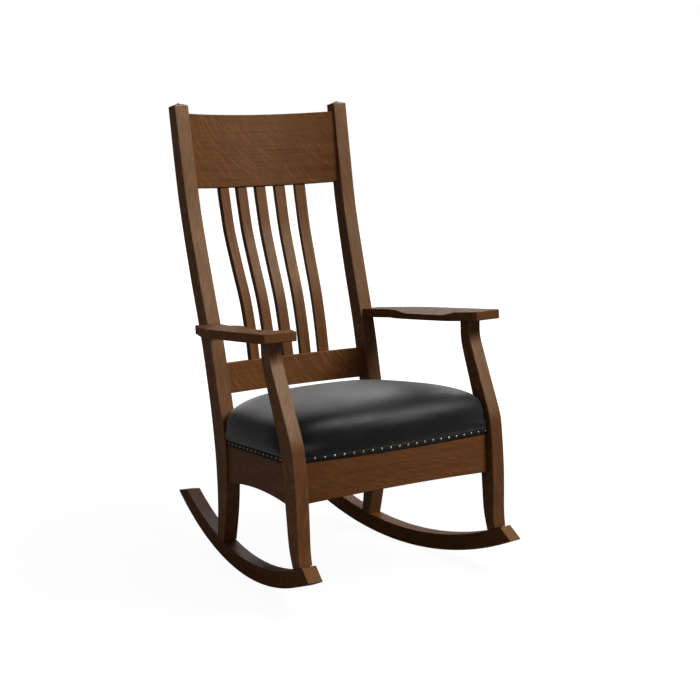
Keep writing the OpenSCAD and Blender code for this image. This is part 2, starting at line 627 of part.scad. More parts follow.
// The soft pieces and the board stop short of the posts all round
module post_cuts(gap) both_sides() {
    front_post_room(gap);
    rear_post_room(gap);
    for (out = [10, 20]) translate([out, gap, 0]) front_post_blank();
    for (out = [10, 20]) translate([out, -gap, 0]) rear_post_blank();
}
module seat_board() color(wood_pale) stand() difference() {
    at_seat() translate([0, 0, glue_gap]) linear_extrude(board_thick)
        polygon(board_outline(0, seat_rear_u));
    post_cuts(leather + 1);
    both_sides() front_block_screw(fit_gap);
    both_sides() rear_block_screw(fit_gap);
    nail_shanks(fit_gap / 2);
}
border_thick = leather + 0.4;
module seat_border() color(leather_black) stand() difference() {
    at_seat() translate([0, 0, 0.3]) difference() {
        linear_extrude(border_h) polygon(board_outline(0.1 + border_thick, seat_rear_u - 40));
        translate([0, 0, -1]) linear_extrude(border_h + 2)
            polygon(board_outline(0.1, seat_rear_u + 40));
    }
    post_cuts(0.4);
    nail_shanks(fit_gap / 2);
}

// Crowned cushion: rings of points on rounded squares that shrink towards the crown
ring_points = 40;
dome_steps = 6;
crown_power = 2.9;
base_power = 20;
bulge_power = 6.2;
top_power = 3;
// Rings between the border and the bulge as [height, share of the swell, power]
function skirt_rings(low) = [[low, 0, base_power], [border_h + 10, 0.7, (base_power + bulge_power) / 2],
    [bulge_z, 1, bulge_power]];
cushion_mid = (front_rail_u + seat_rear_u) / 2;
cushion_half = (seat_rear_u - front_rail_u) / 2;
function square_point(t) = t < 1 ? [1, 2 * t - 1] : t < 2 ? [3 - 2 * t, 1]
    : t < 3 ? [-1, 5 - 2 * t] : [2 * t - 7, -1];
function power_norm(d, n) = pow(pow(abs(d[0]), n) + pow(abs(d[1]), n), 1 / n);
function on_ring(j, share, power) = let(d = square_point(4 * j / ring_points))
    d * share / power_norm(d, power);
function cushion_point(q, swell, grow, v) = let(u = cushion_mid + (cushion_half + grow) * q[1],
    ahead = max(0, -q[1]))
    [q[0] * (side_x(u) + grow + side_swell * swell),
     u - ahead * (front_rail_bow * (1 - q[0] ^ 2) + front_swell * swell), v];
function skirt(grow, low) = [for (s = skirt_rings(low)) for (j = [0 : ring_points - 1])
    cushion_point(on_ring(j, 1, s[2]), s[1], grow, s[0])];
function dome(grow, top) = [for (i = [1 : dome_steps - 1]) let(a = 90 * i / dome_steps,
    share = pow(cos(a), 2 / crown_power), v = bulge_z + (top - bulge_z) * pow(sin(a), 2 / crown_power),
    power = top_power + (bulge_power - top_power) * share ^ 4)
    for (j = [0 : ring_points - 1]) cushion_point(on_ring(j, share, power), share, grow, v)];
module cushion_form(inset, low) {
    grow = 0.2 + leather - inset;
    top = crown_h - inset;
    rings = dome_steps + 2;
    points = concat(skirt(grow, low), dome(grow, top),
        [[0, cushion_mid, top], [0, cushion_mid, low]]);
    at_seat() polyhedron(points, concat(
        [for (k = [0 : rings - 2]) for (j = [0 : ring_points - 1])
            let(a = k * ring_points + j, b = k * ring_points + (j + 1) % ring_points)
            each [[a, a + ring_points, b], [b, a + ring_points, b + ring_points]]],
        [for (j = [0 : ring_points - 1]) let(a = (rings - 1) * ring_points)
            [a + j, rings * ring_points, a + (j + 1) % ring_points]],
        [for (j = [0 : ring_points - 1])
            [j, (j + 1) % ring_points, rings * ring_points + 1]]));
}
module seat_cover() color(leather_black) stand() difference() {
    cushion_form(0, border_h + 0.6);
    difference() {
        cushion_form(leather, border_h - 2);
        post_cuts(leather + 0.6);
    }
    post_cuts(0.6);
}
module seat_foam() color("linen") stand() difference() {
    cushion_form(leather + 0.3, board_thick + glue_gap);
    post_cuts(leather + 1);
}

// Nails along the front and the sides as [x, u, turn]
nail_rows = [
    for (i = [-10.5 : 10.5]) let(x = i * nail_pitch)
        if (abs(x) < front_rail_half - 2)
            [x, board_front(x, 0), asin(x / bow_r(front_rail_half, front_rail_bow))],
    for (side = [-1, 1]) for (i = [0.5 : side_len / nail_pitch - 0.6])
        let(u = side_front[1] + 4 + i * nail_pitch)
            [side * side_x(u), u, side * (90 + side_turn)]];
module at_nails() at_seat() for (nail = nail_rows)
    translate([nail[0], nail[1], nail_z]) rotate([0, 0, nail[2]]) rotate([90, 0, 0]) children();
module nail_shanks(room) at_nails() translate([0, 0, -12 - room])
    cylinder(d = 1.8 + 2 * room, h = 15 + border_thick, $fn = 16);
module nail_head() {
    rise = 2;
    r = ((nail_d / 2) ^ 2 + rise ^ 2) / (2 * rise);
    translate([0, 0, 0.1 + border_thick + 0.05]) intersection() {
        translate([0, 0, rise - r]) sphere(r = r, $fn = 32);
        cylinder(d = 2 * nail_d, h = rise + 1, $fn = 32);
    }
}
module seat_nails() color(brass_dull) stand() at_nails() {
    nail_head();
    translate([0, 0, -12]) cylinder(d = 1.8, h = 12.5 + border_thick, $fn = 16);
}

rocker(-1);  // rocker_left
rocker(1);  // rocker_right
rear_post(-1);  // rear_post_left
rear_post(1);  // rear_post_right
front_post(-1);  // front_post_left
front_post(1);  // front_post_right
arm(-1);  // arm_left
arm(1);  // arm_right
crest_rail();
lower_back_rail();
back_slat(-2);  // back_slat_1
back_slat(-1);  // back_slat_2
back_slat(0);  // back_slat_3
back_slat(1);  // back_slat_4
back_slat(2);  // back_slat_5
front_seat_rail();
rear_seat_rail();
side_rail(-1);  // side_rail_left
side_rail(1);  // side_rail_right
front_block(-1);  // corner_block_front_left
front_block(1);  // corner_block_front_right
rear_block(-1);  // corner_block_rear_left
rear_block(1);  // corner_block_rear_right
corner_block_screws();
rocker_dowels();
arm_dowels();
arm_screws();
screw_plugs();
seat_board();
seat_foam();
seat_cover();
seat_border();
seat_nails();
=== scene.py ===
"""Looks of a mission rocking chair: dark oak boards, a crowned leather seat and a row of metal nails."""

from __future__ import annotations

import functools
import json
import logging
import math
from dataclasses import dataclass
from enum import Enum
from typing import Callable, ClassVar, Iterable, Sequence

import bmesh
import bpy
import numpy as np
from mathutils import Matrix

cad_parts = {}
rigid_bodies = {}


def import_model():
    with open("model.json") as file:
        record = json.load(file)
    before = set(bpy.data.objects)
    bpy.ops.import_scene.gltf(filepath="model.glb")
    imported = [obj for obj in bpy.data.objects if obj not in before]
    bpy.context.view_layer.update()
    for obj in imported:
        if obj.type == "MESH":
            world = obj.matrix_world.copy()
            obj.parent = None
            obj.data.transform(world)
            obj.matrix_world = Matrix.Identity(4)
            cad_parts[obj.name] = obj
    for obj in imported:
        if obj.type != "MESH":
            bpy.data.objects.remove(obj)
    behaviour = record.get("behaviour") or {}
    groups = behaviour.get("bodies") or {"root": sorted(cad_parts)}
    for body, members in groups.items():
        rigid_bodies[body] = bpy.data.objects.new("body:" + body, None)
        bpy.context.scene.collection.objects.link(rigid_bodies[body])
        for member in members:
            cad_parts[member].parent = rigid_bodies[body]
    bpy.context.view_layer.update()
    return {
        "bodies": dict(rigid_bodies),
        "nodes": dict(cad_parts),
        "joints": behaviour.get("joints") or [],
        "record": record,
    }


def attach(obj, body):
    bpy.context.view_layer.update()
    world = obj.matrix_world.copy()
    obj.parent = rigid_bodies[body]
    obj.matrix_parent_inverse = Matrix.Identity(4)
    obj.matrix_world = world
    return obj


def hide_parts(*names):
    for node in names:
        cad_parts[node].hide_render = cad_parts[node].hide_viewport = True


LOG = logging.getLogger("rocking_chair")
MM = 0.001
WHITE = (1, 1, 1)
Grid = np.ndarray
Colour = tuple[float, float, float]
Spot = tuple[float, float, float]
# A course turns (along, a, b) into points of the chair, an end turns (a, b) into the way along.
Course = Callable[[Grid, Grid, Grid], Grid]
End = Callable[[Grid, Grid], Grid]


class Side(Enum):
    """A side of the chair, as a viewer in front of it names it."""

    LEFT = -1
    RIGHT = 1

    @property
    def word(self) -> str:
        """The side's name in lower case."""
        return self.name.lower()


class Cut(Enum):
    """How the oak of a board was sawn, which sets how strongly its flecks show."""

    RIFT = 0.5
    QUARTERED = 1.0


class Axis(Enum):
    """An axis to turn about."""

    X = 0
    Y = 1
    Z = 2


# Curves and lines of the chair


def cos_sin(degrees: float) -> tuple[float, float]:
    """Cosine and sine of an angle."""
    return math.cos(math.radians(degrees)), math.sin(math.radians(degrees))


def tan(degrees: float) -> float:
    """Tangent of an angle."""
    return math.tan(math.radians(degrees))


def turned(axis: Axis, degrees: float, points: Grid) -> Grid:
    """Points turned about an axis, the other two coordinates mixed by the angle's cosine and sine.

    Args:
        axis: The axis.
        degrees: The turn, positive from y to z, from z to x or from x to y.
        points: Array whose last axis is x, y, z.

    Returns:
        The turned points.
    """
    first, second = (axis.value + 1) % 3, (axis.value + 2) % 3
    c, s = cos_sin(degrees)
    result = np.array(points, float)
    result[..., first] = points[..., first] * c - points[..., second] * s
    result[..., second] = points[..., first] * s + points[..., second] * c
    return result


def bow_radius(half: float, rise: float) -> float:
    """Radius of an arc: the squares of its half chord and its rise, over twice the rise."""
    return (half**2 + rise**2) / (2 * rise)


def bow_at(half: float, rise: float, x: Grid | float) -> Grid:
    """How far an arc stands off its chord at x, from the right triangle to its centre."""
    r = bow_radius(half, rise)
    return rise - r + np.sqrt(r**2 - np.asarray(x, float) ** 2)


@dataclass(frozen=True)
class Knots:
    """A smooth curve through points, straight beyond its ends.

    Args:
        points: Pairs of (place, value), with rising places.
    """

    points: tuple[tuple[float, float], ...]

    def at(self, place: Grid | float) -> Grid:
        """The curve's values, on cubics whose slope at a point is that between its neighbours.

        Args:
            place: One place or an array of them.

        Returns:
            An array of the values, in the shape of place.
        """
        z = np.asarray(place, float)
        k = np.array(self.points, float)
        low = np.maximum(np.arange(len(k)) - 1, 0)
        high = np.minimum(np.arange(len(k)) + 1, len(k) - 1)
        slope = (k[high, 1] - k[low, 1]) / (k[high, 0] - k[low, 0])
        i = np.clip(np.searchsorted(k[:, 0], z, side="right") - 1, 0, len(k) - 2)
        wide = k[i + 1, 0] - k[i, 0]
        t = (np.clip(z, k[0, 0], k[-1, 0]) - k[i, 0]) / wide
        inside = (k[i, 1] * (2 * t**3 - 3 * t**2 + 1) + slope[i] * wide * (t**3 - 2 * t**2 + t)
                  + k[i + 1, 1] * (3 * t**2 - 2 * t**3) + slope[i + 1] * wide * (t**3 - t**2))
        return inside + slope[0] * np.minimum(z - k[0, 0], 0) + slope[-1] * np.maximum(z - k[-1, 0], 0)


@dataclass(frozen=True)
class PostLine:
    """The course of a post.

    Args:
        width: Its width from the front.
        half: How far its outer face is from the chair's middle at the floor.
        splay: Its lean to the outside in degrees.
        foot: Height near which it meets its rocker.
        front_edge: Its front edge from the side, as y over the height.
        back_edge: Its back edge, the same.
    """

    width: float
    half: float
    splay: float
    foot: float
    front_edge: Knots
    back_edge: Knots

    def outer(self, z: Grid | float) -> Grid:
        """Its outer face at a height."""
        return self.half + np.asarray(z, float) * tan(self.splay)

    def inner(self, z: Grid | float) -> Grid:
        """Its inner face at a height."""
        return self.outer(z) - self.width

    def middle(self, z: Grid | float) -> Grid:
        """The line half-way between its two edges, at a height."""
        return (self.front_edge.at(z) + self.back_edge.at(z)) / 2


@dataclass(frozen=True)
class Lines:
    """The chair's main lines in millimetres, with y from where a rocker meets the floor."""

    chair_h: float = 1118
    post_tip: float = 7
    rocker_r: float = 879
    rocker_depth: float = 40
    rocker_thick: float = 37
    front_reach: float = 376
    rear_reach: float = 421.5
    crest_rake: float = 9.9
    seat_z: float = 305.6
    seat_tilt: float = 5.7
    arm_z: float = 602.6
    arm_tilt: float = 5.57
    arm_thick: float = 22
    rear_post: PostLine = PostLine(
        width=38.8, half=238.2, splay=0.83, foot=46,
        front_edge=Knots(((40, 119), (140, 99.5), (240, 93.5), (320, 101), (400, 121.5), (540, 157),
                          (700, 207.5), (850, 252), (980, 279.5), (1120, 307))),
        back_edge=Knots(((40, 148), (140, 141.5), (240, 145), (320, 155), (400, 169.5), (540, 202.5),
                         (700, 251.5), (850, 292), (980, 317.5), (1120, 340))))
    front_post: PostLine = PostLine(
        width=35.6, half=296.8, splay=0.63, foot=100,
        front_edge=Knots(((90, -328), (140, -319.5), (200, -316.5), (250, -313.5), (350, -301.5),
                          (372, -297), (392, -289), (460, -256.5), (530, -223), (552, -213),
                          (572, -208), (610, -206.5))),
        back_edge=Knots(((90, -299), (140, -282), (200, -273), (250, -267), (330, -258), (360, -250.5),
                         (430, -223.5), (530, -183), (552, -176.5), (572, -174), (610, -172))))

    @property
    def toe_in(self) -> float:
        """The rockers' turn, which follows the outer corners of the two posts' feet.

        Returns:
            The angle in degrees by which they close in towards the back.
        """
        rear, front = self.rear_post, self.front_post
        run = rear.middle(rear.foot) - front.middle(front.foot)
        return math.degrees(math.atan((front.outer(front.foot) - rear.outer(rear.foot)) / run))

    @property
    def rocker_x(self) -> float:
        """Outer face of a rocker where it meets the floor."""
        rear = self.rear_post
        return float(rear.outer(rear.foot) + rear.middle(rear.foot) * tan(self.toe_in))

    @property
    def shift(self) -> float:
        """The chair's move along y, which puts the middle of its base at the origin.

        Returns:
            The distance, from the half-way point between the rockers' two ends.
        """
        c, s = cos_sin(self.toe_in)
        front = -self.front_reach * c - self.rocker_thick * s
        return -(front + self.rear_reach * c) / 2

    def rocker_top(self, y: Grid) -> Grid:
        """Height at y of a rocker's top, which is the smaller of its two circles."""
        along = np.asarray(y, float) / cos_sin(self.toe_in)[0]
        return self.rocker_r - np.sqrt((self.rocker_r - self.rocker_depth) ** 2 - along**2)

    def seat_u(self, edge: Knots, z: float) -> float:
        """Place of a post's edge at a height, measured along the seat's slope."""
        c, s = cos_sin(self.seat_tilt)
        return float(edge.at(z)) * c - (z - self.seat_z) * s

    def from_seat(self, points: Grid) -> Grid:
        """Points from the seat's own directions to the chair's."""
        return turned(Axis.X, -self.seat_tilt, points) + [0, 0, self.seat_z]

    def from_arm(self, points: Grid) -> Grid:
        """Points from an arm's own directions to the chair's."""
        return turned(Axis.X, -self.arm_tilt, points) + [0, 0, self.arm_z]

    def placed(self, points: Grid) -> Grid:
        """Points in millimetres as points of the scene, in metres."""
        return (points + [0, self.shift, 0]) * MM


LINES = Lines()
REAR, FRONT = LINES.rear_post, LINES.front_post


@dataclass(frozen=True)
class SeatPlan:
    """Where the seat's rails stand, in the seat's own directions."""

    rail_thick: float = 22
    rail_depth: float = 94
    front_bow: float = 22
    front_setback: float = 17.5
    rear_setback: float = 14
    side_step: float = 6

    def top_at(self, post: PostLine) -> float:
        """Height of the seat frame's sloping top at a post."""
        return LINES.seat_z - float(post.front_edge.at(LINES.seat_z)) * tan(LINES.seat_tilt)

    @property
    def front_u(self) -> float:
        """The front rail's face at its ends."""
        return LINES.seat_u(FRONT.front_edge, self.top_at(FRONT)) + self.front_setback

    @property
    def rear_u(self) -> float:
        """The rear rail's front face."""
        return LINES.seat_u(REAR.front_edge, self.top_at(REAR)) + self.rear_setback

    @property
    def front_half(self) -> float:
        """Half the front rail's length."""
        return float(FRONT.inner(self.top_at(FRONT)))

    @property
    def side_ends(self) -> tuple[float, float, float, float]:
        """The side rail's outer face as (front x, front u, rear x, rear u)."""
        front_z, rear_z = self.top_at(FRONT), self.top_at(REAR)
        return (float(FRONT.outer(front_z)) - self.side_step, LINES.seat_u(FRONT.back_edge, front_z),
                float(REAR.outer(rear_z)) - self.side_step, LINES.seat_u(REAR.front_edge, rear_z))

    @property
    def side_turn(self) -> float:
        """Turn of a side rail about the upright, in degrees."""
        fx, fu, rx, ru = self.side_ends
        return math.degrees(math.atan((fx - rx) / (ru - fu)))

    @property
    def side_len(self) -> float:
        """Length of a side rail between the posts."""
        fx, fu, rx, ru = self.side_ends
        return math.hypot(fx - rx, ru - fu)

    def side_x(self, u: Grid | float) -> Grid:
        """The side rail's outer face at u."""
        fx, fu, _, _ = self.side_ends
        return fx - (np.asarray(u, float) - fu) * tan(self.side_turn)

    def front_face(self, x: Grid | float) -> Grid:
        """The front rail's bowed face at x."""
        return self.front_u - bow_at(self.front_half, self.front_bow, x)


SEAT = SeatPlan()

# Meshes


def ring_faces(rings: int, around: int) -> Grid:
    """Quads between closed rings: a point, the next one on its ring, and those two on the next ring.

    Args:
        rings: Number of rings.
        around: Points in each ring.

    Returns:
        Array (faces, 4) of point numbers.
    """
    i, j = np.meshgrid(np.arange(rings - 1) * around, np.arange(around), indexing="ij")
    k = (j + 1) % around
    return np.stack([i + j, i + k, i + around + k, i + around + j], -1).reshape(-1, 4)


def mesh_object(name: str, points: Grid, faces: list[list[int]], sharp: float = 35.0,
                **maps: Grid) -> bpy.types.Object:
    """A mesh object whose faces are turned outwards.

    Args:
        name: The piece's name.
        points: Array (..., 3) in metres.
        faces: The point numbers of each face.
        sharp: Angle in degrees past which an edge is drawn sharp.
        maps: The piece's UV maps, each an array (..., 2) in metres with a pair for each point.

    Returns:
        The new object, linked to the scene.
    """
    mesh = bpy.data.meshes.new(name)
    mesh.from_pydata(points.reshape(-1, 3), [], faces)
    solid = bmesh.new()
    solid.from_mesh(mesh)
    bmesh.ops.recalc_face_normals(solid, faces=solid.faces[:])
    solid.to_mesh(mesh)
    solid.free()
    corner = np.empty(len(mesh.loops), np.int32)
    mesh.loops.foreach_get("vertex_index", corner)
    for title, uv in maps.items():
        layer = mesh.uv_layers.new(name=title)
        layer.data.foreach_set("uv", uv.reshape(-1, 2)[corner].astype(np.float32).ravel())
    mesh.polygons.foreach_set("use_smooth", np.ones(len(mesh.polygons), bool))
    mesh.set_sharp_from_angle(angle=math.radians(sharp))
    mesh.update()
    obj = bpy.data.objects.new(name, mesh)
    bpy.context.scene.collection.objects.link(obj)
    return obj


def ring_object(name: str, rings: Grid, sharp: float = 35.0, **maps: Grid) -> bpy.types.Object:
    """A solid made of rings of points, with the first and the last ring filled.

    Args:
        name: The piece's name.
        rings: Array (rings, points, 3) in metres.
        sharp: Angle in degrees past which an edge is drawn sharp.
        maps: The piece's UV maps.

    Returns:
        The new object, linked to the scene.
    """
    count, around = rings.shape[:2]
    ends = [list(range(around))[::-1], list(range((count - 1) * around, count * around))]
    return mesh_object(name, rings, ring_faces(count, around).tolist() + ends, sharp, **maps)


@dataclass(frozen=True)
class Ease:
    """How a board's arrises are eased.

    Args:
        radius: Radius of the rounding in millimetres.
        arc: Number of flats round a corner.
        flats: Extra points across each wide face.
        least: Share of the radius that is left at a rounded end.
        lead: Share of the radius by which a corner's straights are marked with one more point.
    """

    radius: float = 1.6
    arc: int = 3
    flats: int = 0
    least: float = 0.25
    lead: float = 0.5

    def section(self, half_a: Grid, half_b: Grid, shrink: Grid) -> Grid:
        """Outlines of a rounded rectangle, one for each ring of a board.

        Each corner is a quarter circle, with one more point on the straight before and after it.

        Args:
            half_a: Half widths of the rings.
            half_b: Half depths of the rings.
            shrink: How much smaller each ring is, for the rounding at an end.

        Returns:
            Array (rings, points, 2).
        """
        signs, arcs, leads = [], [], []
        for corner, sign in enumerate(((1, 1), (-1, 1), (-1, -1), (1, -1))):
            for i in range(-1, self.arc + 2):
                c, s = cos_sin(90 * (corner + min(max(i, 0), self.arc) / self.arc))
                push = -1 if i < 0 else 1 if i > self.arc else 0
                signs.append(sign)
                arcs.append((c, s))
                leads.append((-push * s, push * c))
        half = np.stack([half_a - shrink, half_b - shrink], -1)[:, None, :]
        r = np.maximum(self.radius - shrink, self.least * self.radius)[:, None, None]
        ring = np.array(signs) * (half - r) + np.array(arcs) * r + np.array(leads) * self.lead * self.radius
        if not self.flats:
            return ring
        share = (np.arange(self.flats) + 1)[:, None] / (self.flats + 1)
        parts = []
        for corner, part in enumerate(np.split(ring, 4, axis=1)):
            parts.append(part)
            if corner % 2 == 0:
                a, b = part[:, -1:], ring[:, [(corner + 1) * part.shape[1]]]
                parts.append(a + (b - a) * share)
        return np.concatenate(parts, 1)


@dataclass
class Board:
    """A sawn or bent board as a run of rounded rectangles.

    Args:
        place: Its course.
        half_a: Half width, as a number or as a function of the way along.
        half_b: Half depth, the same.
        low: Start of the board.
        high: End of the board.
        steps: Number of stretches along the board.
        ease: How the arrises are eased.
        eased_ends: Whether the low and the high end are rounded too.
        roof: Height of a low pyramid on the high end.
        wide_b: Whether the board's wide face runs along b.
        bare_ends: Whether end grain shows on both ends.
        roof_rings: How much each of the pyramid's rings is smaller than the one before.
        pattern_steps: How far the grain moves along, across and in depth from seed to seed, in metres.
    """

    place: Course
    half_a: float | Callable[[Grid], Grid]
    half_b: float | Callable[[Grid], Grid]
    low: End
    high: End
    steps: int = 60
    ease: Ease = Ease()
    eased_ends: tuple[bool, bool] = (False, False)
    roof: float = 0.0
    wide_b: bool = False
    bare_ends: bool = False
    roof_rings: ClassVar[tuple[float, ...]] = (0.7, 0.4, 0.02)
    pattern_steps: ClassVar[tuple[float, float, float]] = (0.37, 0.011, 0.017)

    def rings(self) -> tuple[Grid, Grid, Grid]:
        """The board's rings, which shrink along a quarter circle towards an eased end.

        Returns:
            Arrays along, a and b of shape (rings, points).
        """
        e = self.ease.radius
        curve = [(e + 0.6, 0.0), *((e * (1 - math.sin(t)), e * (1 - math.cos(t)))
                                   for t in (0, 0.52, 1.05, math.pi / 2)), (0.0, 1.5 * e)]
        plain = [(0.0, 0.0)]
        rows = [(shrink, move, 0.0) for shrink, move in (curve if self.eased_ends[0] else plain)]
        rows += [(0.0, 0.0, t) for t in np.linspace(0, 1, self.steps + 1)[1:-1]]
        rows += [(shrink, -move, 1.0) for shrink, move in reversed(curve if self.eased_ends[1] else plain)]
        shrink, advance, share = (np.array(column) for column in zip(*rows))
        zero = np.zeros(1)
        start, end = float(self.low(zero, zero)[0]), float(self.high(zero, zero)[0])
        nominal = start + (end - start) * share
        half_a, half_b = (half(nominal) if callable(half) else np.full(len(nominal), half)
                          for half in (self.half_a, self.half_b))
        ring = self.ease.section(half_a, half_b, shrink)
        a, b = ring[..., 0], ring[..., 1]
        low, high = self.low(a, b), self.high(a, b)
        along = low + (high - low) * share[:, None] + advance[:, None]
        for f in self.roof_rings if self.roof else ():
            a, b = np.concatenate([a, a[-1:] * f]), np.concatenate([b, b[-1:] * f])
            along = np.concatenate([along, self.high(a[-1:], b[-1:]) + self.roof * (1 - f)])
        return along, a, b

    def build(self, name: str, side: Side = Side.RIGHT, sharp: float = 35.0) -> bpy.types.Object:
        """The board as an object, mirrored for the left side.

        Its first UV map runs along the board and across its wide face. Its second holds the depth and
        how much of the end grain shows, which is only on a pyramid and on bare ends. A seed made from
        the piece's name moves the grain, so that each board has its own.

        Args:
            name: The piece's name.
            side: The side that it goes to.
            sharp: Angle in degrees past which an edge is drawn sharp.

        Returns:
            The new object.
        """
        along, a, b = self.rings()
        points = LINES.placed(self.place(along, a, b))
        points[..., 0] *= side.value
        wide, narrow = (b, a) if self.wide_b else (a, b)
        seed = sum(ord(c) * (3 * i + 1) for i, c in enumerate(name)) % 997
        move = [step * seed for step in self.pattern_steps]
        end_grain = np.zeros_like(b)
        if self.roof:
            end_grain[-len(self.roof_rings):] = 1.0
        if self.bare_ends:
            end_grain[[0, -1]] = 1.0
        return ring_object(name, points, sharp,
                           grain=np.stack([along * MM + move[0], wide * MM + move[1]], -1),
                           depth=np.stack([narrow * MM + move[2], end_grain], -1))


# Finishes


class Nodes:
    """A small helper that adds nodes to the tree of a material or of the world."""

    def __init__(self, owner: bpy.types.Material | bpy.types.World) -> None:
        """Starts with an empty tree.

        Args:
            owner: The material or the world.
        """
        owner.use_nodes = True
        self.tree = owner.node_tree
        self.tree.nodes.clear()

    def link(self, value: object, socket: bpy.types.NodeSocket) -> None:
        """Feeds a socket with a number, a colour, or the output of another node.

        Args:
            value: What it gets; a whole node stands for its first output.
            socket: The socket.
        """
        if isinstance(value, bpy.types.Node):
            value = value.outputs[0]
        if isinstance(value, bpy.types.NodeSocket):
            self.tree.links.new(value, socket)
        elif isinstance(value, (int, float)):
            socket.default_value = float(value)
        else:
            socket.default_value = [*value, 1.0][:len(socket.default_value)]

    def node(self, kind: str, inputs: dict[str | int, object] | None = None,
             **settings: object) -> bpy.types.Node:
        """Adds a node.

        Args:
            kind: Blender's name of the node type, without its ShaderNode prefix.
            inputs: What its inputs get.
            settings: Its other settings.

        Returns:
            The node.
        """
        made = self.tree.nodes.new("ShaderNode" + kind)
        for key, value in settings.items():
            setattr(made, key, value)
        for key, value in (inputs or {}).items():
            self.link(value, made.inputs[key])
        return made


@dataclass(frozen=True)
class Clouds:
    """A cloudy pattern.

    Args:
        scale: How fine it is.
        detail: Number of finer layers over it.
        stretch: Factors on the three coordinates before that.
        rough: Strength of the finer layers.
        warp: How strongly it is bent.
        fade: The values between which it goes from 0 to 1.
    """

    scale: float = 1.0
    detail: float = 3.0
    stretch: Spot | None = None
    rough: float = 0.55
    warp: float = 0.0
    fade: tuple[float, float] = (0.3, 0.7)


class Shader(Nodes):
    """A material with one main surface, and ways to make patterns for it."""

    def __init__(self, name: str) -> None:
        """Starts a material.

        Args:
            name: The material's name.
        """
        self.material = bpy.data.materials.new(name)
        super().__init__(self.material)
        self.surface = self.node("BsdfPrincipled")
        self.output = self.node("OutputMaterial", {"Surface": self.surface})

    def finished(self, inputs: dict[str, object]) -> bpy.types.Material:
        """Feeds the main surface.

        Args:
            inputs: What its inputs get.

        Returns:
            The material.
        """
        for name, value in inputs.items():
            self.link(value, self.surface.inputs[name])
        return self.material

    def object_place(self) -> bpy.types.NodeSocket:
        """The place on the object in metres."""
        return self.node("TexCoord").outputs["Object"]

    def math(self, operation: str, a: object, b: object, clamp: bool = False) -> bpy.types.Node:
        """A maths node."""
        return self.node("Math", {0: a, 1: b}, operation=operation, use_clamp=clamp)

    def vector(self, operation: str, a: object, b: object) -> bpy.types.Node:
        """A maths node for places."""
        return self.node("VectorMath", {0: a, 1: b}, operation=operation)

    def plus_share(self, total: object, share: object, strength: float) -> bpy.types.Node:
        """A value plus a share times a strength, kept between 0 and 1."""
        return self.math("ADD", self.math("MULTIPLY", share, strength), total, clamp=True)

    def clouds(self, where: object, look: Clouds) -> bpy.types.Node:
        """A cloudy pattern, not faded."""
        if look.stretch:
            where = self.vector("MULTIPLY", where, look.stretch)
        return self.node("TexNoise", {"Vector": where, "Scale": look.scale, "Detail": look.detail,
                                      "Roughness": look.rough, "Distortion": look.warp})

    def ramp(self, value: object, low: float, high: float) -> bpy.types.Node:
        """A value faded smoothly so that low gives 0 and high gives 1."""
        return self.node("MapRange", {"Value": value, "From Min": low, "From Max": high},
                         interpolation_type="SMOOTHSTEP")

    def share(self, where: object, look: Clouds) -> bpy.types.Node:
        """A cloudy pattern faded to a share from 0 to 1."""
        return self.ramp(self.clouds(where, look), *look.fade)

    def swayed(self, where: object, scale: float, detail: float, reach: Spot) -> bpy.types.Node:
        """A place moved a little by a noise, which bends a pattern.

        Args:
            where: The place.
            scale: How fine the noise is.
            detail: Number of finer layers over it.
            reach: How far it moves each coordinate.

        Returns:
            The moved place.
        """
        noise = self.node("TexNoise", {"Vector": where, "Scale": scale, "Detail": detail})
        return self.vector("ADD", where, self.vector("MULTIPLY", noise.outputs["Color"], reach))

    def mix(self, share: object, a: object, b: object) -> bpy.types.NodeSocket:
        """A mix of two colours."""
        return self.node("Mix", {0: share, 6: a, 7: b}, data_type="RGBA").outputs[2]

    def bump(self, height: object, distance: float, strength: float,
             under: bpy.types.Node | None = None) -> bpy.types.Node:
        """A bump, laid over another where one is given."""
        inputs = {"Height": height, "Distance": distance, "Strength": strength}
        return self.node("Bump", inputs if under is None else inputs | {"Normal": under})


def shaded(colour: Colour, *factors: float) -> Colour:
    """A colour times one factor, or times one for each channel."""
    return tuple(np.multiply(colour, factors).tolist())


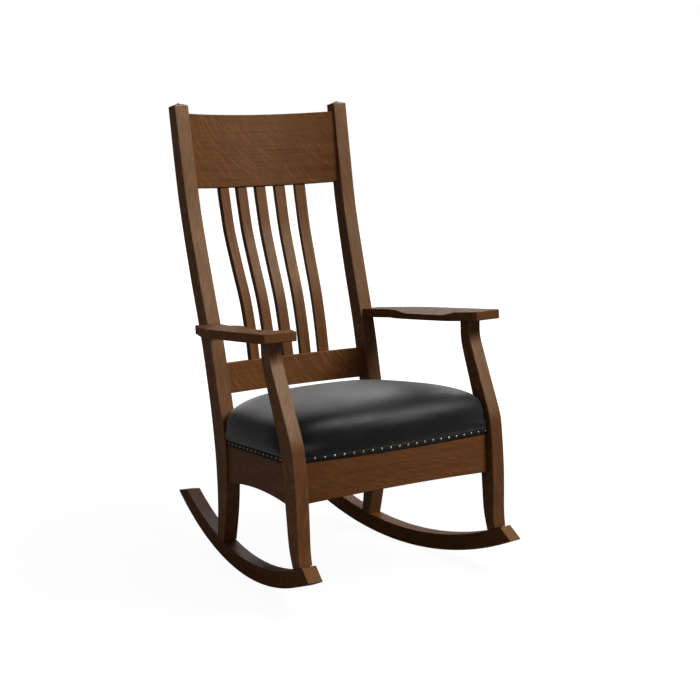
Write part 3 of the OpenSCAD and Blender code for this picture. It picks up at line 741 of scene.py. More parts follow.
@dataclass(frozen=True)
class Oak:
    """Fumed and oiled oak with pores, growth bands and ray flecks.

    Args:
        name: The material's name.
        shade: How light the board is beside the others.
        cut: How the board was sawn.
        rough: Roughness of the finish.
        gloss: Strength of the finish's reflection.
        fleck_turn: Angle of the flecks to the grain, in degrees.
        end_shade: How light end grain is beside the light tone; above 1, as on the rockers, it is a painted
            highlight where their end cuts catch the light.
    """

    name: str
    shade: float = 1.0
    cut: Cut = Cut.RIFT
    rough: float = 0.44
    gloss: float = 0.3
    fleck_turn: float = -50.0
    end_shade: float = 0.5
    light: ClassVar[Colour] = (0.160, 0.0575, 0.0165)
    dark: ClassVar[Colour] = (0.086, 0.0280, 0.0076)
    gloss_tint: ClassVar[Colour] = (1.0, 0.88, 0.64)
    broad: ClassVar[Clouds] = Clouds(1.6, 3.0, (2.4, 7.0, 7.0), fade=(0.32, 0.7))
    band: ClassVar[Clouds] = Clouds(1.0, 4.0, (3.5, 190.0, 190.0), 0.6, 0.6, (0.28, 0.8))
    pore: ClassVar[Clouds] = Clouds(1.0, 2.0, (34.0, 900.0, 900.0), fade=(0.56, 0.7))
    ribbon: ClassVar[Clouds] = Clouds(1.0, 1.5, (21.0, 290.0, 60.0), fade=(0.46, 0.66))
    patch: ClassVar[Clouds] = Clouds(13.0, 2.0, fade=(0.28, 0.56))

    def make(self) -> bpy.types.Material:
        """Builds the material, with broad clouds, flecks, pores and end grain (a painted highlight where it
        is set pale) laid over growth bands.

        Returns:
            The material, which reads the board's own UV maps.
        """
        s = Shader(self.name)
        grain, depth = (s.node("SeparateXYZ", {0: s.node("UVMap", uv_map=title)})
                        for title in ("grain", "depth"))
        where = s.node("CombineXYZ", {0: grain.outputs[0], 1: grain.outputs[1], 2: depth.outputs[0]})
        band = s.clouds(where, self.band)
        fleck, pore, end = self.flecks(s, where), s.share(where, self.pore), depth.outputs[1]
        light, dark = shaded(self.light, self.shade), shaded(self.dark, self.shade)
        tone = s.mix(s.ramp(band, *self.band.fade), light, dark)
        for share, strength, colour in (
                (s.share(where, self.broad), 0.5, shaded(light, 0.78, 0.86, 1.05)),
                (fleck, 0.85 * self.cut.value, shaded(light, 1.3, 1.42, 1.5)),
                (pore, 0.4, shaded(dark, 0.4)),
                # End grain, paled towards grey; on the rockers it is a painted highlight on their end cuts.
                (end, 0.8, shaded(shaded(light, 1.0, 1.35, 2.0), self.end_shade))):
            tone = s.mix(s.math("MULTIPLY", share, strength), tone, colour)
        rough: object = self.rough
        for share, strength in ((fleck, -0.08 * self.cut.value), (pore, 0.14), (end, 0.45)):
            rough = s.plus_share(rough, share, strength)
        height = s.math("SUBTRACT", s.math("MULTIPLY", band, 0.35), pore)
        return s.finished({"Base Color": tone, "Roughness": rough, "Specular IOR Level": self.gloss,
                           "Specular Tint": self.gloss_tint, "Normal": s.bump(height, 0.00012, 0.6)})

    def flecks(self, s: Shader, where: object) -> bpy.types.Node:
        """Pale ribbons that cross the grain of quartered oak in slightly bent rows.

        Args:
            s: The material being built.
            where: Place in the board.

        Returns:
            A share from 0 to 1.
        """
        bent = s.swayed(where, 7.0, 1.0, (0.05, 0.05, 0.0))
        across = s.node("Mapping", {"Vector": bent, "Rotation": (0, 0, math.radians(self.fleck_turn))},
                        vector_type="TEXTURE")
        return s.math("MULTIPLY", s.share(across, self.ribbon), s.share(where, self.patch))


@dataclass(frozen=True)
class PlainWood:
    """Unfinished wood of the hidden pieces, its grain drawn out by the factors in stretch."""

    name: str
    light: Colour = (0.46, 0.31, 0.18)
    dark: Colour = (0.33, 0.2, 0.11)
    stretch: Spot = (6.0, 90.0, 160.0)

    def make(self) -> bpy.types.Material:
        """Builds the material.

        Returns:
            The material, which reads object coordinates.
        """
        s = Shader(self.name)
        where = s.vector("MULTIPLY", s.object_place(), self.stretch)
        return s.finished({"Base Color": s.mix(s.share(where, Clouds(detail=4.0)), self.light, self.dark),
                           "Roughness": 0.72,
                           "Normal": s.bump(s.clouds(where, Clouds(3.0)), 0.0002, 0.5)})


@dataclass(frozen=True)
class Leather:
    """Black upholstery leather with a fine pebbled grain and soft creases."""

    name: str
    base: Colour = (0.0026, 0.0026, 0.0025)
    rough: float = 0.44
    gloss: float = 0.18
    sheen: float = 0.54
    pebbles: ClassVar[float] = 900.0
    wear: ClassVar[Clouds] = Clouds(16.0)
    crease: ClassVar[Clouds] = Clouds(42.0)

    def make(self) -> bpy.types.Material:
        """Builds the material: wear changes its tone and roughness, and the gaps between the pebbles are
        darkened as painted shade.

        Returns:
            The material, which reads object coordinates.
        """
        s = Shader(self.name)
        where = s.object_place()
        bent = s.swayed(where, 260.0, 2.0, (0.0012, 0.0012, 0.0012))
        cells = s.ramp(s.node("TexVoronoi", {"Vector": bent, "Scale": self.pebbles},
                              feature="DISTANCE_TO_EDGE"), 0.0, 0.22)
        wear = s.clouds(where, self.wear)
        tone = s.mix(s.ramp(wear, *self.wear.fade), self.base, shaded(self.base, 1.7))
        # Painted shade: the gaps between the pebbles are darkened towards half the base colour.
        tone = s.mix(s.math("MULTIPLY", s.math("SUBTRACT", 1.0, cells), 0.4), tone, shaded(self.base, 0.5))
        fine = s.bump(cells, 0.00009, 0.5)
        return s.finished({
            "Base Color": tone, "Roughness": s.plus_share(self.rough, s.ramp(wear, 0.3, 0.75), 0.07),
            "Specular IOR Level": self.gloss, "Sheen Weight": self.sheen, "Sheen Roughness": 0.35,
            "Normal": s.bump(s.clouds(where, self.crease), 0.0007, 0.35, fine)})


@dataclass(frozen=True)
class Metal:
    """Dull metal of the nail heads and of the screws."""

    name: str
    base: Colour
    rough: float = 0.22
    spots: ClassVar[Clouds] = Clouds(420.0, fade=(0.35, 0.7))

    def make(self) -> bpy.types.Material:
        """Builds the material.

        Returns:
            The material, which reads object coordinates.
        """
        s = Shader(self.name)
        spots = s.share(s.object_place(), self.spots)
        return s.finished({"Base Color": s.mix(spots, self.base, shaded(self.base, 0.6)),
                           "Metallic": 1.0, "Roughness": s.plus_share(self.rough, spots, 0.16)})


Finish = Oak | PlainWood | Leather | Metal


@functools.cache
def material(finish: Finish) -> bpy.types.Material:
    """A finish's material, built when it is first asked for."""
    return finish.make()


# The chair


class Piece:
    """Shared ways of a sub-assembly: dressing its pieces and laying them on the frame."""

    body = "root"

    def settle(self, obj: bpy.types.Object, finish: Finish, slot: str, *nodes: str) -> bpy.types.Object:
        """Gives a piece its finish, hangs it on the frame's body and hides the frame's nodes that it stands
        for.

        Args:
            obj: The piece.
            finish: Its finish.
            slot: The record's material slot; not used.
            nodes: The frame's nodes that it replaces.

        Returns:
            The piece.
        """
        obj.data.materials.clear()
        obj.data.materials.append(material(finish))
        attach(obj, self.body)
        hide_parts(*nodes)
        LOG.info("%s: %d faces", obj.name, len(obj.data.polygons))
        return obj


@dataclass
class Rockers(Piece):
    """The two curved boards that the chair stands on."""

    front_cut: float = 38
    rear_cut: float = 14
    # The rockers' pale end grain is a painted highlight, where their slanted end cuts catch the light.
    finish: Oak = Oak("oak_rocker", shade=0.6, rough=0.52, gloss=0.1, fleck_turn=-14, end_shade=1.6)

    def cut_angle(self, radius: Grid, reach: float, way: float, slope: float) -> Grid:
        """Where a circle of some radius meets a slanted end, as an angle from the lowest point.

        The end is a straight line from its lowest corner, which lies on the rocker's outer circle.

        Args:
            radius: Radii of the circles.
            reach: Place of the end's lowest corner.
            way: 1 if the cut rises towards the back, -1 if towards the front.
            slope: Slope of the cut in degrees.

        Returns:
            Angles in radians.
        """
        c, s = cos_sin(slope)
        c *= way
        down = math.sqrt(LINES.rocker_r**2 - reach**2)
        half = reach * c - down * s
        t = -half - np.sqrt(np.maximum(half**2 - (reach**2 + down**2 - radius**2), 0))
        return np.arctan2(reach + t * c, down - t * s)

    def build(self) -> None:
        """Builds both rockers."""
        mid_r = LINES.rocker_r - LINES.rocker_depth / 2

        def place(along: Grid, a: Grid, b: Grid) -> Grid:
            """Bends the board to its circle and turns it in towards the back.

            Args:
                along: Way along the board.
                a: Place across its width.
                b: Place across its depth.

            Returns:
                Points of the chair.
            """
            angle, r = along / mid_r, mid_r - b
            flat = np.stack([a - LINES.rocker_thick / 2, r * np.sin(angle),
                             LINES.rocker_r - r * np.cos(angle)], -1)
            return turned(Axis.Z, LINES.toe_in, flat) + [LINES.rocker_x, 0, 0]

        board = Board(place, LINES.rocker_thick / 2, LINES.rocker_depth / 2,
                      lambda a, b: mid_r * self.cut_angle(mid_r - b, -LINES.front_reach, 1, self.front_cut),
                      lambda a, b: mid_r * self.cut_angle(mid_r - b, LINES.rear_reach, -1, self.rear_cut),
                      steps=90, eased_ends=(True, True), bare_ends=True)
        for side in Side:
            self.settle(board.build("rocker_board_" + side.word, side), self.finish,
                        "oak_rockers", "rocker_" + side.word)


@dataclass
class Posts(Piece):
    """The four posts that carry the seat, the back and the arms."""

    sunk: float = 0.2
    arm_lap: float = 0.1
    arm_level: float = 590
    sharp: float = 17
    left_finish: Oak = Oak("oak_post", shade=0.82, cut=Cut.QUARTERED, gloss=0.36, fleck_turn=-16)
    # The right-hand posts take a darker copy of the same oak: painted shade for the dimmer light on the
    # chair's right side.
    right_finish: Oak = Oak("oak_post_right", shade=0.66, cut=Cut.QUARTERED, gloss=0.27, fleck_turn=-16)

    def post(self, line: PostLine, high: End, roof: float = 0.0) -> Board:
        """One post as a board that stands on a rocker.

        Args:
            line: Its course.
            high: Its top.
            roof: Height of the pyramid on its top.

        Returns:
            The board.
        """
        def place(along: Grid, a: Grid, b: Grid) -> Grid:
            """Follows the post's curve and its lean."""
            return np.stack([line.outer(along) - line.width / 2 + a, line.middle(along) + b, along], -1)

        return Board(place, line.width / 2, lambda z: (line.back_edge.at(z) - line.front_edge.at(z)) / 2,
                     lambda a, b: LINES.rocker_top(float(line.middle(line.foot)) + b) - self.sunk, high,
                     steps=120, ease=Ease(2.2, arc=6), eased_ends=(False, bool(roof)), roof=roof)

    def build(self) -> None:
        """Builds the rear posts with a pyramid on top, and the front ones up to the arms' undersides."""
        arm_mid = float(FRONT.middle(self.arm_level))
        under = LINES.arm_z - LINES.arm_thick / cos_sin(LINES.arm_tilt)[0] + self.arm_lap
        shoulder = LINES.chair_h - LINES.post_tip
        boards = {"rear": self.post(REAR, lambda a, b: shoulder - b * tan(LINES.crest_rake), LINES.post_tip),
                  "front": self.post(FRONT, lambda a, b: under - (arm_mid + b) * tan(LINES.arm_tilt))}
        for side, finish in zip(Side, (self.left_finish, self.right_finish)):
            for name, board in boards.items():
                self.settle(board.build(f"{name}_post_board_{side.word}", side, self.sharp), finish,
                            "oak_posts", f"{name}_post_{side.word}")


@dataclass(frozen=True)
class BackRail:
    """A bowed rail between the rear posts.

    Args:
        z: Height of its lower edge at its ends.
        depth: Its depth along its slope.
        rake: Its lean in degrees.
        bow: Its bow towards the back.
        setback: Distance from the posts' front edge.
        thick: Its thickness.
        gap: Room between its ends and the posts.
    """

    z: float
    depth: float
    rake: float
    bow: float
    setback: float
    thick: float = 22
    gap: float = 0.1

    @property
    def y(self) -> float:
        """Place of its lower front edge at its ends."""
        return float(REAR.front_edge.at(self.z)) + self.setback

    @property
    def half(self) -> float:
        """Half its length."""
        return float(REAR.inner(self.z))

    @property
    def radius(self) -> float:
        """Radius of its front face."""
        return bow_radius(self.half, self.bow)

    def spot(self, x: float, up: float, inset: float) -> tuple[float, float]:
        """A place in the rail.

        Args:
            x: Distance from the chair's middle.
            up: Distance from the lower edge along the slope.
            inset: Distance behind the front face.

        Returns:
            The pair (y, z).
        """
        c, s = cos_sin(self.rake)
        off = float(bow_at(self.half, self.bow, x)) + inset
        return self.y + off * c + up * s, self.z - off * s + up * c

    def board(self) -> Board:
        """The rail as a board.

        Returns:
            The board, which is bent to its circle and leant back.
        """
        r, mid = self.radius, self.radius + self.thick / 2
        c, s = cos_sin(self.rake)

        def place(along: Grid, a: Grid, b: Grid) -> Grid:
            """Bends the rail and leans it back.

            Args:
                along: Way along the board.
                a: Place across its width.
                b: Place across its depth.

            Returns:
                Points of the chair.
            """
            angle, radius = along / r, mid + a
            flat = np.stack([radius * np.sin(angle), self.bow - r + radius * np.cos(angle),
                             b + self.depth / 2], -1)
            return turned(Axis.X, -self.rake, flat) + [0, self.y, self.z]

        def end(a: Grid, b: Grid) -> Grid:
            """Where the rail meets a post's inner face."""
            level = self.z + (b + self.depth / 2) * c - a * s
            return r * np.arcsin((REAR.inner(level) - self.gap) / (mid + a))

        return Board(place, self.thick / 2, self.depth / 2, lambda a, b: -end(a, b), end, wide_b=True)


@dataclass
class Back(Piece):
    """Crest rail, lower back rail and the five bent slats."""

    crest: BackRail = BackRail(z=911.6, depth=183.5, rake=LINES.crest_rake, bow=41, setback=10.5)
    low: BackRail = BackRail(z=412, depth=76, rake=8.3, bow=28, setback=21)
    slat_w: float = 29.3
    slat_thick: float = 14
    slat_lap: float = 4
    pitch_low: float = 51.4
    pitch_top: float = 56.4
    slope_step: float = 0.01
    sweep: Knots = Knots(((0, 0), (0.15, -6.1), (0.34, -8), (0.55, 0), (0.74, 5.6), (0.9, 3), (1, 0)))
    crest_finish: Oak = Oak("oak_crest", shade=0.7, cut=Cut.QUARTERED, gloss=0.14)
    low_finish: Oak = Oak("oak_low_rail", shade=0.84, cut=Cut.QUARTERED, gloss=0.14)
    slat_finish: Oak = Oak("oak_slat", shade=0.75, gloss=0.2, fleck_turn=-14)

    def slat(self, number: int) -> Board:
        """One slat, turned by the mean of the two rails' slopes where it stands.

        Args:
            number: From -2 at the left to 2 at the right.

        Returns:
            The board.
        """
        x_top, x_low = number * self.pitch_top, number * self.pitch_low
        inset = (self.crest.thick - self.slat_thick) / 2
        top, foot = self.crest.spot(x_top, 0, inset), self.low.spot(x_low, self.low.depth, inset)
        run = math.hypot(top[0] - foot[0], top[1] - foot[1])
        lean = math.degrees(math.atan2(top[0] - foot[0], top[1] - foot[1]))
        fan = math.degrees(math.atan((x_top - x_low) / run))
        turn = math.degrees(math.asin(x_top / self.crest.radius) + math.asin(x_low / self.low.radius)) / 2

        def place(along: Grid, a: Grid, b: Grid) -> Grid:
            """Bends the slat and stands it between the rails.

            Args:
                along: Way along the board.
                a: Place across its width.
                b: Place across its depth.

            Returns:
                Points of the chair.
            """
            share, step = along / run, self.slope_step
            slope = (self.sweep.at(share + step) - self.sweep.at(share - step)) / (2 * step * run)
            size = np.sqrt(1 + slope**2)
            deep = b + self.slat_thick / 2
            flat = np.stack([a, self.sweep.at(share) + deep / size, along - deep * slope / size], -1)
            fanned = turned(Axis.Y, fan, turned(Axis.Z, -turn, flat))
            return turned(Axis.X, -lean, fanned) + [x_low, *foot]

        return Board(place, self.slat_w / 2, self.slat_thick / 2,
                     lambda a, b: np.full_like(a, -self.slat_lap),
                     lambda a, b: np.full_like(a, run + self.slat_lap), ease=Ease(1.8))

    def build(self) -> None:
        """Builds the rails and the slats."""
        for name, rail, finish in (("crest_rail", self.crest, self.crest_finish),
                                   ("lower_back_rail", self.low, self.low_finish)):
            self.settle(rail.board().build(name + "_board"), finish, "oak_rails", name)
        for number in range(-2, 3):
            self.settle(self.slat(number).build(f"slat_board_{number + 3}"), self.slat_finish,
                        "oak_slats", f"back_slat_{number + 3}")


@dataclass
class SeatFrame(Piece):
    """The four rails under the seat, whose ends run a little way into the posts."""

    front_arch: float = 9
    side_arch: float = 12
    lap: float = 0.5
    side_lap: float = 13
    finish: Oak = Oak("oak_seat_rail", shade=0.76, gloss=0.12, fleck_turn=-24)

    def front_rail(self) -> Board:
        """The front rail, bowed forwards and arched underneath.

        Returns:
            The board.
        """
        half, thick, depth = SEAT.front_half, SEAT.rail_thick, SEAT.rail_depth
        r = bow_radius(half, SEAT.front_bow)

        def deep(x: Grid) -> Grid:
            """The rail's depth at x."""
            return depth - bow_at(half, self.front_arch, np.clip(x, -half, half))

        def place(along: Grid, a: Grid, b: Grid) -> Grid:
            """Bends the rail and lays it in the seat's slope.

            Args:
                along: Way along the board.
                a: Place across its width.
                b: Place across its depth.

            Returns:
                Points of the chair.
            """
            angle, radius = along / r, r - thick / 2 - a
            x = radius * np.sin(angle)
            u = SEAT.front_u - SEAT.front_bow + r - radius * np.cos(angle)
            return LINES.from_seat(np.stack([x, u, b - deep(x) / 2], -1))

        def end(a: Grid, b: Grid) -> Grid:
            """Where the rail meets a front post's inner face."""
            level = SEAT.top_at(FRONT) + b - depth / 2
            return r * np.arcsin((FRONT.inner(level) + self.lap) / (r - thick / 2 - a))

        return Board(place, thick / 2, lambda s: deep(s) / 2, lambda a, b: -end(a, b), end, wide_b=True)

    def rear_rail(self) -> Board:
        """The straight rear rail.

        Returns:
            The board.
        """
        def place(along: Grid, a: Grid, b: Grid) -> Grid:
            """Lays the rail in the seat's slope."""
            return LINES.from_seat(np.stack([along, SEAT.rear_u + SEAT.rail_thick / 2 + a,
                                             b - SEAT.rail_depth / 2], -1))

        def end(a: Grid, b: Grid) -> Grid:
            """Where the rail meets a rear post's inner face."""
            return REAR.inner(SEAT.top_at(REAR) + b - SEAT.rail_depth / 2) + self.lap

        return Board(place, SEAT.rail_thick / 2, SEAT.rail_depth / 2, lambda a, b: -end(a, b), end,
                     steps=48, wide_b=True)

    def side_rail(self) -> Board:
        """A side rail, straight and arched underneath.

        Returns:
            The board.
        """
        front_x, front_u, _, _ = SEAT.side_ends
        half = SEAT.side_len / 2

        def deep(s: Grid) -> Grid:
            """The rail's depth along it."""
            return SEAT.rail_depth - bow_at(half, self.side_arch, np.clip(s - half, -half, half))

        def place(along: Grid, a: Grid, b: Grid) -> Grid:
            """Turns the rail in towards the back and lays it in the seat's slope."""
            flat = np.stack([a - SEAT.rail_thick / 2, along, b - deep(along) / 2], -1)
            return LINES.from_seat(turned(Axis.Z, SEAT.side_turn, flat) + [front_x, front_u, 0])

        return Board(place, SEAT.rail_thick / 2, lambda s: deep(s) / 2,
                     lambda a, b: np.full_like(a, -self.side_lap),
                     lambda a, b: np.full_like(a, SEAT.side_len + self.side_lap), wide_b=True)

    def build(self) -> None:
        """Builds the four rails."""
        for end, board in (("front", self.front_rail()), ("rear", self.rear_rail())):
            self.settle(board.build(end + "_rail_board"), self.finish, "oak_rails", end + "_seat_rail")
        for side in Side:
            self.settle(self.side_rail().build("side_rail_board_" + side.word, side), self.finish,
                        "oak_rails", "side_rail_" + side.word)


@dataclass
class Arms(Piece):
    """The two arms, each with a wing behind the rear post and a shallow scoop in its top.

    An outline's points are pairs: how far they lie behind the front edge of a post, and how far
    outside a post's outer face. The front points go by the front post and the rear points by the
    rear post; the middle points go by the rear post's edge and the front post's face.
    """

    overhang: float = 37.5
    front_reach: float = 43
    front_slant: float = 9
    front_inset: float = 46
    front_inner: tuple[tuple[float, float], ...] = ((4, -67), (34, -78), (98, -82))
    middle_inner: tuple[tuple[float, float], ...] = ((-181, -82), (-121, -78), (-89, -69))
    rear_inner: tuple[tuple[float, float], ...] = ((-62, -18), (2, -31))
    middle_outer: tuple[tuple[float, float], ...] = ((-140, 21.6), (-90, 12))
    wing_reach: float = 18
    wing_out: float = 29
    wing_flat: float = 3
    corner_r: float = 6
    scoop_slope: float = 6.2
    scoop_start: float = 54
    scoop_behind: float = 48
    scoop_len: float = 150
    front_fade: float = 20 / 120
    rear_fade: float = 20 / 150
    left_finish: Oak = Oak("oak_arm", shade=0.82, rough=0.58, gloss=0.15, fleck_turn=-18)
    # The right arm takes a darker copy of the same oak: painted shade for the dimmer light on the chair's
    # right side.
    right_finish: Oak = Oak("oak_arm_right", shade=0.62, rough=0.58, gloss=0.12, fleck_turn=-18)

    def board(self) -> Board:
        """The right arm, laid out between its inner and its outer edge.

        Returns:
            The board.
        """
        c, _ = cos_sin(LINES.arm_tilt)
        rear_z = LINES.arm_z - float(REAR.front_edge.at(LINES.arm_z)) * tan(LINES.arm_tilt)
        front_x, rear_x = float(FRONT.outer(LINES.arm_z)), float(REAR.outer(rear_z))
        front_y = float(FRONT.front_edge.at(LINES.arm_z)) / c
        rear_y = float(REAR.front_edge.at(rear_z)) / c
        inset_x, outer_x = front_x - self.front_inset, front_x + self.overhang
        end_y, tail_y = front_y - self.front_reach, rear_y + self.wing_reach
        wing_x, neck_x = rear_x + self.wing_out, rear_x + self.rear_inner[-1][1]
        inner = Knots(((end_y, inset_x), *((front_y + y, front_x + x) for y, x in self.front_inner),
                       *((rear_y + y, front_x + x) for y, x in self.middle_inner),
                       *((rear_y + y, rear_x + x) for y, x in self.rear_inner)))
        edge = np.array([(end_y, outer_x), (end_y + self.front_slant, outer_x),
                         *((rear_y + y, front_x + x) for y, x in self.middle_outer),
                         (rear_y + self.wing_reach / 2, wing_x), (tail_y, wing_x)])

        def inner_at(y: Grid) -> Grid:
            """The arm's inner edge."""
            return np.where(y < rear_y, inner.at(np.minimum(y, rear_y)), neck_x)

        def outer_at(y: Grid) -> Grid:
            """The arm's outer edge, with its rounded front corner.

            Args:
                y: Places along the arm.

            Returns:
                The edge's x.
            """
            ahead = np.clip(self.corner_r - (y - end_y - self.front_slant), 0, self.corner_r)
            round_off = self.corner_r - np.sqrt(self.corner_r**2 - ahead**2)
            return np.interp(y, edge[:, 0], edge[:, 1]) - round_off

        def scoop(x: Grid, y: Grid) -> Grid:
            """The scoop in the arm's top: a slope inwards that fades out at both ends.

            Args:
                x: Places across the arm.
                y: Places along the arm.

            Returns:
                How far the top sinks.
            """
            low = front_y + self.scoop_behind
            fade = (np.maximum(low - y, 0) * self.front_fade
                    + np.maximum(y - low - self.scoop_len, 0) * self.rear_fade)
            into = np.maximum(outer_x - self.scoop_start - x, 0)
            return np.maximum(into * tan(self.scoop_slope) - fade, 0)

        def place(along: Grid, a: Grid, b: Grid) -> Grid:
            """Lays the arm in its slope and sinks its scoop.

            Args:
                along: Way along the board.
                a: Place across its width.
                b: Place across its depth.

            Returns:
                Points of the chair.
            """
            x = (inner_at(along) + outer_at(along)) / 2 + a
            share = np.clip((b + LINES.arm_thick / 2) / LINES.arm_thick, 0, 1)
            z = b - LINES.arm_thick / 2 - scoop(x, along) * share
            return LINES.from_arm(np.stack([x, along, z], -1))

        def front_end(a: Grid, b: Grid) -> Grid:
            """The skewed front end."""
            x = (inset_x + outer_x) / 2 + a
            return end_y + self.front_slant * np.clip((x - inset_x) / (outer_x - inset_x), 0, 1)

        def rear_end(a: Grid, b: Grid) -> Grid:
            """The wing's end, whose outer part slants forwards by half the wing's reach.

            Args:
                a: Place across the arm's width.
                b: Place across its depth; not used.

            Returns:
                The way along the arm.
            """
            x = (neck_x + wing_x) / 2 + a
            slanted = self.wing_out - self.wing_flat
            return tail_y - np.clip(x - rear_x - self.wing_flat, 0, slanted) * self.wing_reach / (2 * slanted)

        return Board(place, lambda y: (outer_at(y) - inner_at(y)) / 2, LINES.arm_thick / 2, front_end,
                     rear_end, steps=150, ease=Ease(2.0, flats=16), eased_ends=(True, True))

    def build(self) -> None:
        """Builds both arms."""
        for side, finish in zip(Side, (self.left_finish, self.right_finish)):
            self.settle(self.board().build("arm_board_" + side.word, side), finish,
                        "oak_arms", "arm_" + side.word)


@dataclass(frozen=True)
class Swell:
    """A short cloth simulation that swells a pad, with a limit on how far a point may move.

    Args:
        cap: Most that a point may move, in metres.
        mesh_size: Size of the pad's faces, in metres.
        pressure: Pressure inside the pad.
        stiffness: Resistance to stretching.
        bending: Resistance to bending.
        frames: Length of the simulation.
        held_over: Height over the border up to which the pad is held still, in metres.
        rounds: How often each move is averaged with its neighbours'.
    """

    cap: float = 0.0035
    mesh_size: float = 0.0055
    pressure: float = 4.0
    stiffness: float = 40
    bending: float = 20
    frames: int = 12
    held_over: float = 0.004
    rounds: int = 60

    def puff(self, start: bpy.types.Object, border_z: float) -> bpy.types.Object:
        """Swells a pad, its moves first evened and then limited by a hyperbolic tangent.

        Args:
            start: The pad, slightly smaller than the finished one.
            border_z: Height of the border's sloping top where y is 0, in metres.

        Returns:
            The finished pad, under the same name.
        """
        scene = bpy.context.scene
        bpy.context.view_layer.objects.active = start
        remesh = start.modifiers.new("even", "REMESH")
        remesh.mode = "VOXEL"
        remesh.voxel_size = self.mesh_size
        remesh.adaptivity = 0.0
        bpy.ops.object.modifier_apply(modifier=remesh.name)
        mesh = start.data
        rest = self.places(mesh)
        over = rest[:, 2] + (rest[:, 1] - LINES.shift * MM) * tan(LINES.seat_tilt) - border_z
        group = start.vertex_groups.new(name="held")
        group.add(np.nonzero(over < self.held_over)[0].tolist(), 1.0, "REPLACE")
        cloth = start.modifiers.new("swell", "CLOTH")
        cloth.settings.use_pressure = True
        cloth.settings.uniform_pressure_force = self.pressure
        cloth.settings.effector_weights.gravity = 0.0
        cloth.settings.vertex_group_mass = group.name
        cloth.settings.tension_stiffness = cloth.settings.compression_stiffness = self.stiffness
        cloth.settings.bending_stiffness = self.bending
        cloth.point_cache.frame_start, cloth.point_cache.frame_end = 1, self.frames
        for frame in range(1, self.frames + 1):
            scene.frame_set(frame)
        seen = start.evaluated_get(bpy.context.evaluated_depsgraph_get()).to_mesh()
        shift = self.evened(self.places(seen) - rest, mesh)
        start.modifiers.remove(cloth)
        scene.frame_set(1)
        size = np.linalg.norm(shift, axis=1, keepdims=True)
        shift *= self.cap * np.tanh(size / self.cap) / np.maximum(size, 1e-9)
        LOG.info("cushion swelled by %.1f mm on average", 1000 * float(size.mean()))
        mesh.vertices.foreach_set("co", (rest + shift).ravel())
        smooth = start.modifiers.new("soft", "SMOOTH")
        smooth.factor, smooth.iterations = 0.5, 4
        fine = start.modifiers.new("fine", "SUBSURF")
        fine.levels = fine.render_levels = 1
        for name in (smooth.name, fine.name):
            bpy.ops.object.modifier_apply(modifier=name)
        mesh.polygons.foreach_set("use_smooth", np.ones(len(mesh.polygons), bool))
        mesh.update()
        return start

    @staticmethod
    def places(mesh: bpy.types.Mesh) -> Grid:
        """The places of a mesh's points.

        Args:
            mesh: The mesh.

        Returns:
            Array (points, 3).
        """
        flat = np.empty(len(mesh.vertices) * 3)
        mesh.vertices.foreach_get("co", flat)
        return flat.reshape(-1, 3)

    def evened(self, moves: Grid, mesh: bpy.types.Mesh) -> Grid:
        """Averages moves with those of neighbouring points, so that only broad swells stay.

        Args:
            moves: Array (points, 3) of moves.
            mesh: The mesh whose edges say which points are neighbours.

        Returns:
            The evened moves.
        """
        ends = np.empty(len(mesh.edges) * 2, np.int64)
        mesh.edges.foreach_get("vertices", ends)
        a, b = ends.reshape(-1, 2).T
        count = np.bincount(ends, minlength=len(moves))[:, None]
        for _ in range(self.rounds):
            total = np.stack([np.bincount(a, way[b], len(way)) + np.bincount(b, way[a], len(way))
                              for way in moves.T], -1)
            moves = 0.5 * moves + 0.5 * total / np.maximum(count, 1)
        return moves


